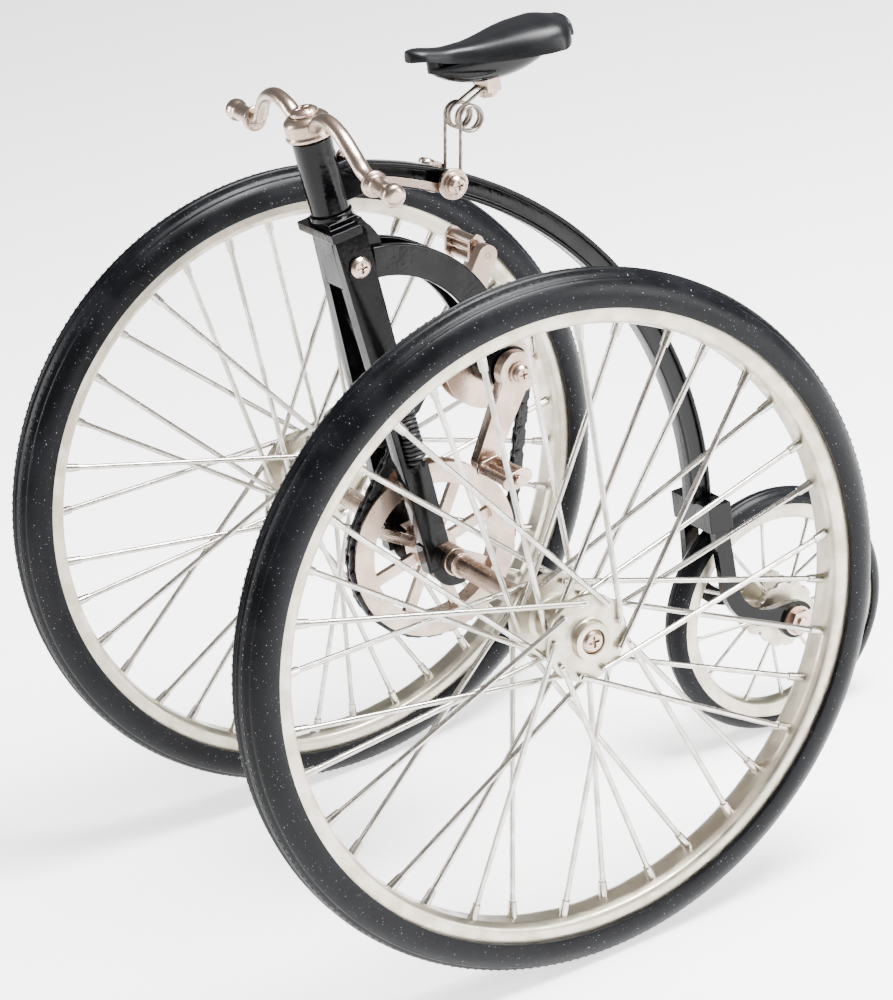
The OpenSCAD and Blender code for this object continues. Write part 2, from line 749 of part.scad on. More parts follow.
screw_x = leg_out + leg_t / 2 - (crown_v + 4.5) * tan(splay_angle) - 0.1;
module bracket_screws()
    color("#d9ccbf")
        for (s = [-1, 1])
            side_on(on_axis(crown_v + 4.5) + [0.6, 0], s * screw_x)
                mirror([0, 0, s < 0 ? 1 : 0]) pan_head(2.5, 1.6);

module crank_bushes()
    color("#111113")
        mirror_copy()
            difference() {
                union() {
                    cross_bar(bracket_x - bracket_t / 2 - 0.6, boss_x, crank_axle_r + 1, crank_axis);
                    cross_bar(bracket_x + bracket_t / 2, boss_x - 0.4, bush_r, crank_axis);
                }
                cross_bar(0, 20, crank_axle_r + run, crank_axis);
            }

// ---- head, backbone and rear fork ----

module head_tube()
    color("#0d0d0f") on_steering()
        translate([0, 0, head_v])
            difference() {
                cylinder(h = head_len, r = head_d / 2);
                translate([0, 0, -1]) cylinder(h = head_len + 2, r = column_r + 0.9);
            }

bush_h = 3;
module head_bushes()
    color("#b58a4a") on_steering()
        for (v = [head_v, head_v + head_len - bush_h])
            translate([0, 0, v])
                difference() {
                    cylinder(h = bush_h, r = column_r + 0.9);
                    translate([0, 0, -1]) cylinder(h = bush_h + 2, r = column_r + run);
                }

flange_h = 1.1;
module backbone_solid()
    bent_bar(backbone_a, rear_top, backbone_r) {
        square([backbone_h, backbone_w * 0.55], center = true);
        for (s = [-1, 1])
            translate([s * (backbone_h - flange_h) / 2, 0])
                square([flange_h, backbone_w], center = true);
    }
module backbone()
    color("#0d0d0f")
        difference() {
            backbone_solid();
            cross_bar(-9, 9, bolt_r, bolt);
        }

lug_h = min(9, head_len - 8);
lug_top = cap_v - 9.5 + lug_h / 2 - 2;
module backbone_lug()
    color("#0d0d0f")
        difference() {
            on_steering()
                translate([-backbone_w / 2 - 0.8, 0, lug_top - lug_h])
                    cube([backbone_w + 1.6, lug_y + 3, lug_h]);
            on_steering() cylinder(h = 400, r = head_d / 2);
            backbone_solid();
        }

module backbone_screws()
    color("#d9ccbf") {
        on_steering() translate([0, lug_y + 0.6, lug_top]) pan_head(1.9, 1.3);
        on_top(front_y + 12.5) pan_head(1.9, 1.3);
    }
// On the backbone's top edge, y being the place along the machine
module on_top(y) {
    p = on_backbone(y);
    d = p - backbone_c;
    translate([0, p[0], p[1]]) rotate([heading(d) - 90, 0, 0])
        translate([0, 0, backbone_h / 2]) children();
}

// ---- saddle springs ----

module spring_bolt()
    color("#d9ccbf") {
        cross_bar(-head_x, head_x, bolt_r, bolt);
        for (s = [-1, 1])
            side_on(bolt, s * head_x) mirror([0, 0, s < 0 ? 1 : 0]) pan_head(2.2, 1.5);
    }

module spring_washers()
    color("#cdbfb0")
        difference() {
            mirror_copy() {
                cross_bar(washer_x, washer_x + 1, 3.6, bolt);
                cross_bar(washer_x + 1, head_x, 2.7, bolt);
            }
            cross_bar(-20, 20, bolt_r, bolt);
        }

// A strap on each side, from the bolt forward along the lower edge of the backbone
strap_h = 1.8;
module spring_straps()
    color("#c9bbac")
        difference() {
            for (s = [-1, 1])
                translate([s * (backbone_w + strap_t) / 2, 0, 0]) {
                    bent_bar(on_backbone(front_y - 1), bolt, backbone_r)
                        translate([(strap_h - backbone_h) / 2 + 0.2, 0])
                            square([strap_h, strap_t], center = true);
                    side_on(bolt) cylinder(h = strap_t, r = 2.7, center = true);
                }
            cross_bar(-20, 20, bolt_r, bolt);
        }

// One turn of wire round an axis across the machine
module turn(at, x, r)
    side_on(at, x) rotate_extrude() translate([r, 0]) circle(r = wire_d / 2, $fn = 24);

// Lower half of each spring: an eye round the bolt, a leg, and two turns of the coil
module saddle_springs()
    color("#8a837b")
        mirror_copy() {
            eye = bolt_r + wire_d / 2 + 0.9;
            turn(bolt, wire_x, eye);
            rod([wire_x, bolt[0] + eye - 0.12, bolt[1]],
                [wire_x, coil[0] - coil_r + 0.12, coil[1] + 0.3], wire_d / 2 + swell);
            for (i = [0, 1])
                turn(coil, wire_x - i * coil_step, coil_r);
        }

// Upper half: the coil's last turn and a leg into the saddle's clamp
module spring_arms()
    color("#8a837b")
        mirror_copy() {
            turn(coil, arm_x, coil_r);
            rod([arm_x, coil[0] - coil_r * 0.4, coil[1] + coil_r * 0.86],
                [arm_x, clamp_at[0], clamp_at[1]], wire_d / 2 + swell);
        }

// ---- rear fork and wheel ----

rear_top_x = 6.6;                      // middle of a leg at the crown
rear_splay = atan((rear_leg_x - rear_top_x) / 34);
rear_crown_h = 7;
rear_crown_z = rear_top[1] - rear_crown_h + 0.6;
module rear_crown()
    color("#0d0d0f")
        difference() {
            translate([-rear_top_x - 1.9, rear_top[0] - 3.2, rear_crown_z])
                cube([2 * rear_top_x + 3.8, 6.4, rear_crown_h]);
            backbone_solid();
            rear_fork_leg(1, 0);
            rear_fork_leg(-1, 0);
        }

// A rear leg: straight down, bent back, and a round end about the axle that is open behind
module rear_fork_leg(side, mouth = 1)
    difference() {
        translate([side * rear_top_x, rear_y, rear_top[1]]) rotate([0, side * -rear_splay, 0])
            translate([0, 0, -rear_top[1] + rear_r]) rotate([90, 0, 90]) {
                translate([rear_drop[0] - rear_leg_w / 2, rear_drop[1], -rear_leg_t / 2])
                    cube([rear_leg_w, rear_crown_z + 2 - rear_r - rear_drop[1], rear_leg_t]);
                translate([rear_drop[0] + rear_bend, rear_drop[1]])
                    rotate([0, 0, 180]) rotate_extrude(angle = 90)
                        translate([rear_bend, 0])
                            square([rear_leg_w, rear_leg_t], center = true);
                translate([rear_drop[0] + rear_bend - 0.1,
                           rear_drop[1] - rear_bend - rear_leg_w / 2, -rear_leg_t / 2])
                    cube([-rear_drop[0] - rear_bend, rear_leg_w, rear_leg_t]);
                cylinder(h = rear_leg_t, r = dropout_r, center = true);
            }
        cross_bar(-20, 20, rear_axle_r, [rear_y, rear_r]);
        // flat faces for the nuts, and room for the hub
        mirror_copy() {
            cross_bar(rear_leg_x + 1, 20, dropout_r + 0.4, [rear_y, rear_r]);
            cross_bar(0, rear_leg_x - 1, dropout_r + 0.4, [rear_y, rear_r]);
        }
        if (mouth > 0)
            translate([-20, rear_y, rear_r - rear_axle_r])
                cube([40, 20, 2 * rear_axle_r]);
    }
module rear_fork_left() color("#0d0d0f") rear_fork_leg(1);
module rear_fork_right() color("#0d0d0f") rear_fork_leg(-1);

module rear_axle()
    color("#b9aa9b")
        cross_bar(-rear_leg_x - 4.4, rear_leg_x + 4.4, rear_axle_r, [rear_y, rear_r]);

module rear_nuts()
    color("#cbbcad")
        for (s = [-1, 1])
            side_on([rear_y, rear_r], s * (rear_leg_x + 1)) mirror([0, 0, s < 0 ? 1 : 0])
                difference() {
                    union() {
                        cylinder(h = 0.7, r = 3.8);
                        cylinder(h = 2.6, r = 3.3, $fn = 6);
                    }
                    translate([0, 0, -1]) cylinder(h = 6, r = rear_axle_r);
                }

module on_rear_axle()
    translate([0, rear_y, rear_r]) rotate([0, 90, 0]) children();

module tyre_rear()
    on_rear_axle() tyre(rear_r, rear_tyre_w, rear_rim_r, rear_rim_w, rear_rim_wall);
module rim_rear()
    on_rear_axle() rim(rear_rim_r, rear_rim_w, rear_rim_depth, rear_rim_wall);

disc_x = 4.6;
disc_t = 1.2;
rear_hub_r = 3;
scallop_r = 1.1;
module hub_rear()
    color("#d2c6b8") on_rear_axle()
        difference() {
            union() {
                cylinder(h = 2 * (rear_leg_x - 1 - gap), r = rear_hub_r, center = true);
                for (s = [-1, 1])
                    translate([0, 0, s * disc_x]) cylinder(h = disc_t, r = rear_disc_r, center = true);
            }
            cylinder(h = 60, r = rear_axle_r + run, center = true);
            for (i = [0:rear_spoke_count - 1])
                rotate([0, 0, (i + 0.5) * 360 / rear_spoke_count])
                    translate([rear_disc_r + scallop_r * 0.5, 0, 0])
                        cylinder(h = 20, r = scallop_r, center = true);
        }

rear_spoke_d = 0.9;
module spokes_rear()
    translate([0, rear_y, rear_r]) color("#cfc9c0")
        for (i = [0:rear_spoke_count - 1]) {
            a = i * 360 / rear_spoke_count;
            x = (i % 2 == 0 ? 1 : -1) * (disc_x - disc_t / 2 - rear_spoke_d * 0.4);
            r0 = rear_hub_r - 0.3;
            r1 = rear_rim_r - rear_rim_depth + 0.5;
            dir = [0, cos(a), sin(a)];
            rod([x, 0, 0] + r0 * dir, [x * 0.3, 0, 0] + r1 * dir, rear_spoke_d / 2);
            rod([x * 0.4, 0, 0] + (r1 - 2.2) * dir, [x * 0.3, 0, 0] + r1 * dir, rear_spoke_d * 0.8);
        }

// ---- saddle ----

// Half-width of the saddle's outline at t, from its nose (0) to its back (1)
nose_w = 7;
function smooth(t) = let (u = max(0, min(1, t))) u * u * (3 - 2 * u);
function saddle_half(t) =
    (nose_w + (saddle_w - nose_w) * smooth((t - 0.2) / 0.62)) / 2
    * sqrt(max(0.04, 1 - pow(max(0, 1 - t / 0.09), 2)))
    * sqrt(max(0.3, 1 - pow(max(0, (t - 0.86) / 0.14), 2)));
// Height of the saddle's top at t, against its highest place, and the depth of its sides
function saddle_crest(t) =
    -1.5 * smooth(t / 0.25) * (1 - smooth((t - 0.35) / 0.4))
    - 9 * pow(max(0, 0.12 - t), 1.5) - 1.2 * smooth((t - 0.85) / 0.15);
function saddle_depth(t) = 2.6 + 4.4 * smooth(t / 0.8) - 2.8 * smooth((t - 0.86) / 0.14);
saddle_thick = 1.1;
saddle_steps = 16;
squareness = 0.78;                    // below 1, how square the saddle's section is

// Upper half of a squared oval, w to each side and h high
module squared_half(w, h, steps = 20)
    polygon([for (k = [0:steps])
        let (a = 180 * k / steps)
        [w * sign(cos(a)) * pow(abs(cos(a)), squareness), h * pow(abs(sin(a)), squareness)]]);

// A slice of the saddle at t, its sides and top standing in by cut
module saddle_slice(t, cut)
    translate([0, saddle_y + t * saddle_len, saddle_z + saddle_crest(t) - saddle_depth(t)])
        rotate([90, 0, 0])
            linear_extrude(0.1, center = true)
                squared_half(max(0.3, saddle_half(t) - cut), saddle_depth(t) - cut);
module saddle_body(cut, first, last)
    for (i = [first:last - 1])
        hull() {
            saddle_slice(i / saddle_steps, cut);
            saddle_slice((i + 1) / saddle_steps, cut);
        }
module saddle_top()
    color("#0b0b0c")
        difference() {
            saddle_body(0, 0, saddle_steps);
            translate([0, 0, -0.02]) saddle_body(saddle_thick, 1, saddle_steps - 1);
        }

// Boat-shaped pan under the saddle; its rim hangs clear of the saddle's sides,
// and a post at each end joins it to the saddle
module pan_slice(t) {
    swell_t = sqrt(max(0.02, 1 - pow(2 * t - 1, 2)));
    translate([0, pan_front + t * pan_len, pan_top])
        rotate([-90, 0, 0])
            linear_extrude(0.1, center = true)
                squared_half(pan_w / 2 * swell_t, pan_depth * pow(swell_t, 1.3), 12);
}
module saddle_frame()
    color("#0d0d0f") {
        for (i = [0:pan_steps - 1])
            hull() {
                pan_slice(i / pan_steps);
                pan_slice((i + 1) / pan_steps);
            }
        for (y = [pan_front + 1.6, pan_front + pan_len - 3])
            translate([-1.8, y - 1.4, pan_top - 1.2]) cube([3.6, 2.8, 5]);
    }

module saddle_clamp()
    color("#c4b6a8")
        translate([-3.4, clamp_at[0] - 1.8, clamp_at[1] - 1.3])
            cube([6.8, 3.6, 3.2]);

module saddle_screw()
    color("#cbbcad")
        translate([0, clamp_at[0], clamp_at[1] - 1.3]) mirror([0, 0, 1])
            cylinder(h = 1.5, r = 2.1, $fn = 6);

backbone();
backbone_lug();
backbone_screws();
head_tube();
head_bushes();
spring_bolt();
spring_washers();
spring_straps();
saddle_springs();
spring_arms();
rear_crown();
rear_fork_left();
rear_fork_right();
rear_axle();
rear_nuts();
tyre_rear();
rim_rear();
spokes_rear();
hub_rear();
steering_column();
head_cap();
head_screw();
handlebar();
grip_left();
grip_right();
fork_crown();
fork_left();
fork_right();
fork_springs();
axle_bearings();
bracket_left();
bracket_right();
bracket_screws();
crank_bushes();
chain();
axle();
axle_sprocket();
hub_left();
hub_right();
hub_screws();
spokes_left();
spokes_right();
rim_left();
rim_right();
tyre_left();
tyre_right();
crank_axle();
crank_sprocket();
crank_left();
crank_right();
crank_screws();
pedal_spindles();
pedal_frame_left();
pedal_frame_right();
pedal_rollers_left();
pedal_rollers_right();
saddle_top();
saddle_frame();
saddle_clamp();
saddle_screw();
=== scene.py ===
import json
import math

import bmesh
import bpy
import numpy as np
from mathutils import Matrix, Vector


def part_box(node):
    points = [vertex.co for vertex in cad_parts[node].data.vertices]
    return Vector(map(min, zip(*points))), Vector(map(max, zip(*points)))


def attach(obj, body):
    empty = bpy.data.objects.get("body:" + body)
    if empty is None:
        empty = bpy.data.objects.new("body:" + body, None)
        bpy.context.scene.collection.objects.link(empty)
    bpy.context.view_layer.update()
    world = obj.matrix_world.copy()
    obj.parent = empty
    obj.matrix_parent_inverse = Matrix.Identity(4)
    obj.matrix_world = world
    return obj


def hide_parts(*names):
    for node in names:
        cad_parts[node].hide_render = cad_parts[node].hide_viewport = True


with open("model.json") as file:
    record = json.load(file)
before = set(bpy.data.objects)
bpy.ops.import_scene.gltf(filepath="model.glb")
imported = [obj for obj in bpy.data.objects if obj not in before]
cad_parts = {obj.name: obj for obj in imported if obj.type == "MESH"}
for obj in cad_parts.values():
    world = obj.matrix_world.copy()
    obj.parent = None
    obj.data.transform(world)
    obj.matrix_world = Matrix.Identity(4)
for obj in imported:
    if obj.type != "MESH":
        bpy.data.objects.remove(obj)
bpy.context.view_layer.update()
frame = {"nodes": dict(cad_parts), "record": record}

# %% [markdown]
# A miniature tricycle in nickel plate, black enamel and black rubber. The engineering model is
# already loaded as a fixed frame. Every size could be typed in again here, but then the two models
# would drift apart, so the main places and sizes are read from the frame and only the finer detail
# is given here. Both are in millimetres, and turn to metres when a mesh is written. X runs across
# the machine, -Y is forwards and Z is up.

# %% Reading the frame
MM = 0.001


def low(node):
    return Vector(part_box(node)[0]) / MM


def high(node):
    return Vector(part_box(node)[1]) / MM


def middle(node):
    return (low(node) + high(node)) / 2


def extent(node):
    return high(node) - low(node)


ACROSS = Vector((1, 0, 0))
front_axle = middle("axle")
rear_axle = middle("rear_axle")
crank_axle = middle("crank_axle")
wheel_x = middle("tyre_left").x
wheel_r = extent("tyre_left").y / 2
rear_r = extent("tyre_rear").y / 2
print(f"front wheel radius {wheel_r:.1f} mm, rear {rear_r:.1f} mm, track {2 * wheel_x:.0f} mm")

# %% [markdown]
# Every colour is written as the sRGB hex value that an artist would pick, and `linear` turns it to
# the linear numbers that a shader wants. `add` is the one way that a node is made, in materials
# and in geometry alike: it fills the node's inputs and hands back one output, ready for the next.

# %% Colours and nodes


def linear(code):
    values = [int(code[i:i + 2], 16) / 255 for i in (1, 3, 5)]
    return [v / 12.92 if v <= 0.04045 else ((v + 0.055) / 1.055) ** 2.4 for v in values] + [1.0]


def add(tree, kind, inputs=(), output=0, **settings):
    """Adds a node and returns one of its outputs. Inputs go by name, or in order as a list, and
    each is a number, a hex colour, a socket, or a list of sockets where several may meet."""
    node = tree.nodes.new(kind)
    for key, value in settings.items():
        setattr(node, key, value)
    for key, value in (inputs if isinstance(inputs, dict) else dict(enumerate(inputs))).items():
        if isinstance(value, (bpy.types.NodeSocket, list)):
            for socket in value if isinstance(value, list) else [value]:
                tree.links.new(socket, node.inputs[key])
        else:
            node.inputs[key].default_value = linear(value) if isinstance(value, str) else value
    return node.outputs[output] if len(node.outputs) else None


# %% [markdown]
# No surface on the real machine is even. Each finish is a Principled shader whose roughness and
# tone wander between two values over soft patches, and most have a fine unevenness too. Painted
# image maps could do that, but noise on object coordinates has no seams and can be given a real
# size in millimetres. What is the same all over is set on the shader itself.

# %% Patches and unevenness
FINISH = {}


def speckle(tree, size_mm, detail=3.0, edges=(0.4, 0.6)):
    """Noise with features about size_mm across, stretched to run from 0 to 1."""
    place = add(tree, "ShaderNodeTexCoord", output="Object")
    noise = add(tree, "ShaderNodeTexNoise",
                {"Vector": place, "Scale": 1 / (size_mm * MM), "Detail": detail}, output="Fac")
    return add(tree, "ShaderNodeMapRange",
               {"Value": noise, "From Min": edges[0], "From Max": edges[1]})


def patchy(tree, patch, rough, tones=None):
    """Shader inputs that wander over the patches: roughness always, colour if tones are given."""
    found = {"Roughness": add(tree, "ShaderNodeMapRange",
                              {"Value": patch, "To Min": rough[0], "To Max": rough[1]})}
    if tones:
        found["Base Color"] = add(tree, "ShaderNodeMix", {0: patch, 6: tones[0], 7: tones[1]},
                                  output=2, data_type="RGBA")
    return found


def uneven(tree, size_mm, depth_mm, strength=1.0, detail=2.0):
    """The shader input for an unevenness so many millimetres across and deep."""
    height = speckle(tree, size_mm, detail, (0.3, 0.7))
    return {"Normal": add(tree, "ShaderNodeBump", {
        "Height": height, "Distance": depth_mm * MM, "Strength": strength})}


def finish(name, surface, constants):
    """A material: surface(tree) gives the inputs that vary, constants those that don't."""
    material = bpy.data.materials.new(name)
    material.use_nodes = True
    tree = material.node_tree
    shader = tree.nodes["Principled BSDF"]
    for key, value in constants.items():
        shader.inputs[key].default_value = linear(value) if isinstance(value, str) else value
    for key, socket in surface(tree).items():
        tree.links.new(socket, shader.inputs[key])
    print("finish:", name)
    return material


# %% [markdown]
# Nickel plate comes in two finishes here. The rims and hubs are left satin and look cream; the
# small turned and stamped parts are buffed, and warmer because the plate is thin. The spokes are
# drawn wire, which plates brightest. All are plain metals that keep the default IOR, so only
# colour and roughness tell them apart. The buffing marks are really finer: they are drawn about
# 0.4 mm across so that they show.

# %% Nickel plate and bare wire


def satin_plate(tree):
    """Cream and cloudy: reflections are wide and soft."""
    tones = ("#BFB7A8", "#AEA695")
    return {**patchy(tree, speckle(tree, 5.0), (0.28, 0.42), tones), **uneven(tree, 0.35, 0.012)}


def buffed_plate(tree):
    """Warm and brighter, with sharper reflections."""
    clouds = speckle(tree, 6.0, 2.0, (0.3, 0.7))
    return {**patchy(tree, clouds, (0.22, 0.34), ("#BAA698", "#A69184")),
            **uneven(tree, 0.4, 0.012)}


def plated_wire(tree):
    """Drawn smooth, so it has no grain, only cloudy plate."""
    return patchy(tree, speckle(tree, 4.0), (0.20, 0.34), ("#C6C2BA", "#B0ABA2"))


def spring_wire(tree):
    """Unplated and a little tarnished: darker and browner than the nickel."""
    return patchy(tree, speckle(tree, 1.5), (0.3, 0.42), ("#8F857B", "#6C645C"))


def turned_brass(tree):
    """Yellow metal, dulled in patches."""
    return patchy(tree, speckle(tree, 2.0), (0.25, 0.4))


METAL = {"Metallic": 1.0}
FINISH["rim_nickel"] = finish("satin nickel plate", satin_plate, METAL)
FINISH["warm_nickel"] = finish("polished nickel plate", buffed_plate, METAL)
FINISH["spoke_steel"] = finish("nickel-plated wire", plated_wire, METAL)
FINISH["spring_steel"] = finish("spring steel wire", spring_wire, METAL)
FINISH["brass"] = finish("brass", turned_brass, dict(METAL, **{"Base Color": "#C9A06A"}))

# %% [markdown]
# The frame is stove enamel: black and glossy, with a faint orange peel that breaks up reflections.
# The saddle has the same enamel on its sides. Its top is dull, and a lighter dark grey is painted
# on it as painted light from above, so its finish changes with height above the ground. Chain and
# fork springs are steel with a black oxide, mottled and half dull. Black shows every reflection, so
# their specular level is low.

# %% Black enamel and blackened steel
# Between these heights the saddle top turns dull and takes a painted lighter grey, which stands for
# the light from above.
DULL_PAINTED_TOP_STARTS, DULL_PAINTED_TOP_FULL = 189.5, 192.0


def stove_enamel(tree):
    """Gloss that sharpens and softens over 6 mm, and a peel 1.2 mm across and 0.02 mm deep."""
    return {**patchy(tree, speckle(tree, 6.0), (0.10, 0.20)),
            **uneven(tree, 1.2, 0.02, 0.6, 1.0)}


def enamel_dull_with_painted_top(tree):
    """Glossy below the lower height and dull above the higher one, where a greyer colour is painted
    on as painted light from above.
    """
    place = add(tree, "ShaderNodeTexCoord", output="Object")
    height = add(tree, "ShaderNodeSeparateXYZ", [place], output="Z")
    dull_and_painted_top = add(tree, "ShaderNodeMapRange", {
        "Value": height, "From Min": DULL_PAINTED_TOP_STARTS * MM, "From Max": DULL_PAINTED_TOP_FULL * MM})
    clouds = speckle(tree, 8.0)
    gloss = patchy(tree, clouds, (0.10, 0.18))["Roughness"]
    dull = patchy(tree, clouds, (0.34, 0.44))["Roughness"]
    return {
        # Painted light: the top is painted a greyer black than the sides, for the light that falls
        # on it from above.
        "Base Color": add(tree, "ShaderNodeMix", {0: dull_and_painted_top, 6: "#040405", 7: "#0C0D0F"},
                          output=2, data_type="RGBA"),
        "Roughness": add(tree, "ShaderNodeMix", {0: dull_and_painted_top, 2: gloss, 3: dull}),
        **uneven(tree, 0.5, 0.02, 0.5)}


def oxide_black(tree):
    """Mottled over a millimetre, between two near-blacks."""
    return patchy(tree, speckle(tree, 1.0), (0.3, 0.45), ("#0B0B0C", "#1A1A1D"))


FINISH["black_enamel"] = finish("black stove enamel", stove_enamel, {
    "Base Color": "#030304", "Specular IOR Level": 0.16})
FINISH["saddle_enamel"] = finish("thick black enamel", enamel_dull_with_painted_top, {"Specular IOR Level": 0.18})
FINISH["black_steel"] = finish("blackened steel", oxide_black, {"Specular IOR Level": 0.3})

# %% [markdown]
# The tyres are solid moulded rubber. Its black is bluish, with a bloom that clouds it over about
# 9 mm, and pale dust has settled in its skin. Real dust is finer: the specks are drawn 0.3 mm
# across so that they show. They come from the sharp peaks of a plain noise, which scatters them.

# %% Black rubber


def moulded_rubber(tree):
    """Dull and near black, clouded and sprinkled with dust."""
    skin = patchy(tree, speckle(tree, 9.0), (0.32, 0.42), ("#060709", "#0C0D10"))
    dust = speckle(tree, 0.3, 0.0, (0.81, 0.84))
    dusty = add(tree, "ShaderNodeMix", {0: dust, 6: skin["Base Color"], 7: "#7A7F84"},
                output=2, data_type="RGBA")
    return {**skin, "Base Color": dusty, **uneven(tree, 0.3, 0.03, 0.5)}


FINISH["black_rubber"] = finish("black rubber", moulded_rubber, {"Specular IOR Level": 0.11})

# %% [markdown]
# Each piece is written as a plain mesh in its final place, and stands for one part of the frame.
# It takes that part's body and finish, so one call, `register`, does all the bookkeeping. Shading
# is smooth, and edges sharper than the crease angle stay crisp, which suits turned and bent metal.

# %% Writing a piece
SLOT_OF = {part["node"]: part["material_slot"] for part in frame["record"]["subparts"]}
BODY_OF = {node: body for body, nodes in frame["record"]["behaviour"]["bodies"].items()
           for node in nodes}
REPLACED = set()


def settle(mesh, crease):
    """Merges doubles, turns faces outwards and sets smooth shading with crisp creases."""
    work = bmesh.new()
    work.from_mesh(mesh)
    bmesh.ops.remove_doubles(work, verts=work.verts, dist=1e-6)
    bmesh.ops.recalc_face_normals(work, faces=work.faces)
    work.to_mesh(mesh)
    work.free()
    mesh.shade_smooth()
    mesh.set_sharp_from_angle(angle=math.radians(crease))


def place_mesh(name, mesh):
    piece = bpy.data.objects.new(name, mesh)
    bpy.context.scene.collection.objects.link(piece)
    return piece


def register(piece, node):
    """The piece rides on the part's body, stands for the part and takes its finish."""
    piece.data.materials.clear()
    piece.data.materials.append(FINISH[SLOT_OF[node]])
    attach(piece, BODY_OF[node])
    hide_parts(node)
    REPLACED.add(node)
    print(f"{piece.name}: {len(piece.data.polygons)} faces, for {node}")


def make(name, node, shapes, crease=50.0):
    """One piece from (points, faces) shapes in millimetres."""
    points, faces = [], []
    for some_points, some_faces in shapes:
        start = len(points)
        points += [tuple(Vector(p) * MM) for p in some_points]
        faces += [tuple(i + start for i in face) for face in some_faces]
    mesh = bpy.data.meshes.new(name)
    mesh.from_pydata(points, [], faces)
    settle(mesh, crease)
    register(place_mesh(name, mesh), node)


print(len(FINISH), "finishes for", len(SLOT_OF), "parts")

# %% [markdown]
# Tyres, rims, hubs, caps and grips are round about one line, as if turned on a lathe. A Screw
# modifier could spin them, but writing the rings point by point closes the poles cleanly and
# works about any axis. `turned` spins a profile of (along, radius) points. A profile that closes
# on itself makes a ring; one that starts and ends on the axis makes a solid. `rounded` breaks a
# profile's corners first, because a crisp corner looks unreal on polished metal.

# %% Turned shapes


def basis(axis):
    axis = Vector(axis).normalized()
    side = axis.cross(Vector((0, 0, 1)))
    if side.length < 0.2:
        side = axis.cross(Vector((0, 1, 0)))
    side.normalize()
    return axis, side, axis.cross(side)


def rounded(profile, radius, steps=3, closed=True):
    """The profile with each corner replaced by an arc-like run of points."""
    out = []
    count = len(profile)
    for i, point in enumerate(profile):
        if not closed and i in (0, count - 1):
            out.append(Vector(point))
            continue
        here = Vector(point)
        before = Vector(profile[i - 1]) - here
        after = Vector(profile[(i + 1) % count]) - here
        reach = min(radius, before.length * 0.45, after.length * 0.45)
        start = here + before.normalized() * reach
        end = here + after.normalized() * reach
        for k in range(steps + 1):
            t = k / steps
            out.append(start * (1 - t) ** 2 + here * 2 * t * (1 - t) + end * t * t)
    return out


def turned(profile, centre, axis=ACROSS, steps=96, ring=True):
    """(points, faces) of a profile of (along, radius) turned about an axis through centre."""
    axis, side, up = basis(axis)
    centre = Vector(centre)
    points, faces, rows = [], [], []
    for along, radius in profile:
        if radius < 1e-6:
            rows.append([len(points)] * steps)
            points.append(centre + axis * along)
            continue
        rows.append(list(range(len(points), len(points) + steps)))
        for k in range(steps):
            a = 2 * math.pi * k / steps
            points.append(centre + axis * along + (side * math.cos(a) + up * math.sin(a)) * radius)
    pairs = list(zip(rows, rows[1:])) + ([(rows[-1], rows[0])] if ring else [])
    for one, two in pairs:
        for k in range(steps):
            face = [one[k], one[(k + 1) % steps], two[(k + 1) % steps], two[k]]
            face = [v for i, v in enumerate(face) if v not in face[:i]]
            if len(face) > 2:
                faces.append(tuple(face))
    return points, faces


# %% [markdown]
# A front tyre is a thick ring of rubber. Three fine grooves run close together round its crown and
# one more runs along each shoulder; the small rear tyre has two. They could be a bump in the
# material, but real grooves catch the light along the whole rim, so they are cut into the profile
# before it is turned. The front tyres' beads are added later, as they repeat.

# %% Tyres
SIDES = ((1, "left"), (-1, "right"))
FRONT_GROOVES, REAR_GROOVES = (-3.6, -1.1, 0.0, 1.1, 3.6), (-0.9, 0.9)


def wheel_at(side):
    """Middle of a front wheel; side is 1 for the left one and -1 for the right one."""
    return (side * wheel_x, front_axle.y, front_axle.z)


def tyre_profile(radius, width, edge, rim_width, grooves, groove_w, groove_d, steps):
    """A round section of that width whose foot sits inside the rim's edge."""
    section = width / 2
    centre = radius - section
    half_open = rim_width / 2
    start = math.atan2(edge - centre, half_open)
    profile = []
    for k in range(steps + 1):
        a = start + (math.pi - 2 * start) * k / steps
        across = section * math.cos(a)
        dip = sum(groove_d * max(0.0, 1 - ((across - g) / groove_w) ** 2) for g in grooves)
        profile.append((across, centre + (section - dip) * math.sin(a)))
    return profile + [(-half_open + 0.5, edge - 0.5), (half_open - 0.5, edge - 0.5)]


rim_r, rim_w = extent("rim_left").y / 2, extent("rim_left").x
tyre_h = wheel_r - rim_r
tyre_w = extent("tyre_left").x
profile = tyre_profile(wheel_r, tyre_w, rim_r, rim_w, FRONT_GROOVES, 0.42, 0.32, 72)
for side, hand in SIDES:
    make(f"tyre-{hand}", f"tyre_{hand}", [turned(profile, wheel_at(side), steps=240)], 30)
rear_rim_r, rear_rim_w = extent("rim_rear").y / 2, extent("rim_rear").x
profile = tyre_profile(rear_r, extent("tyre_rear").x, rear_rim_r, rear_rim_w, REAR_GROOVES,
                       0.25, 0.2, 48)
make("tyre-rear", "tyre_rear", [turned(profile, rear_axle, steps=180)], 30)

# %% [markdown]
# A rim is strip metal rolled to a channel: two thin walls that hold the tyre, a bed, and a shallow
# valley on the inside where the nipples sit. It could be swept along a circle, but turning it uses
# the tool that is already here. Its edges are rolled round, and that is what catches the light.

# %% Rims
RIM_BED = 1.6


def rim_profile(radius, width, depth, wall):
    half = width / 2
    return rounded([
        (half * 0.5, radius - depth), (half * 0.9, radius - depth + wall * 0.7),
        (half, radius - depth + wall * 1.9), (half, radius),
        (half - wall, radius), (half - wall, radius - RIM_BED), (-half + wall, radius - RIM_BED),
        (-half + wall, radius), (-half, radius), (-half, radius - depth + wall * 1.9),
        (-half * 0.9, radius - depth + wall * 0.7), (-half * 0.5, radius - depth),
    ], 0.45)


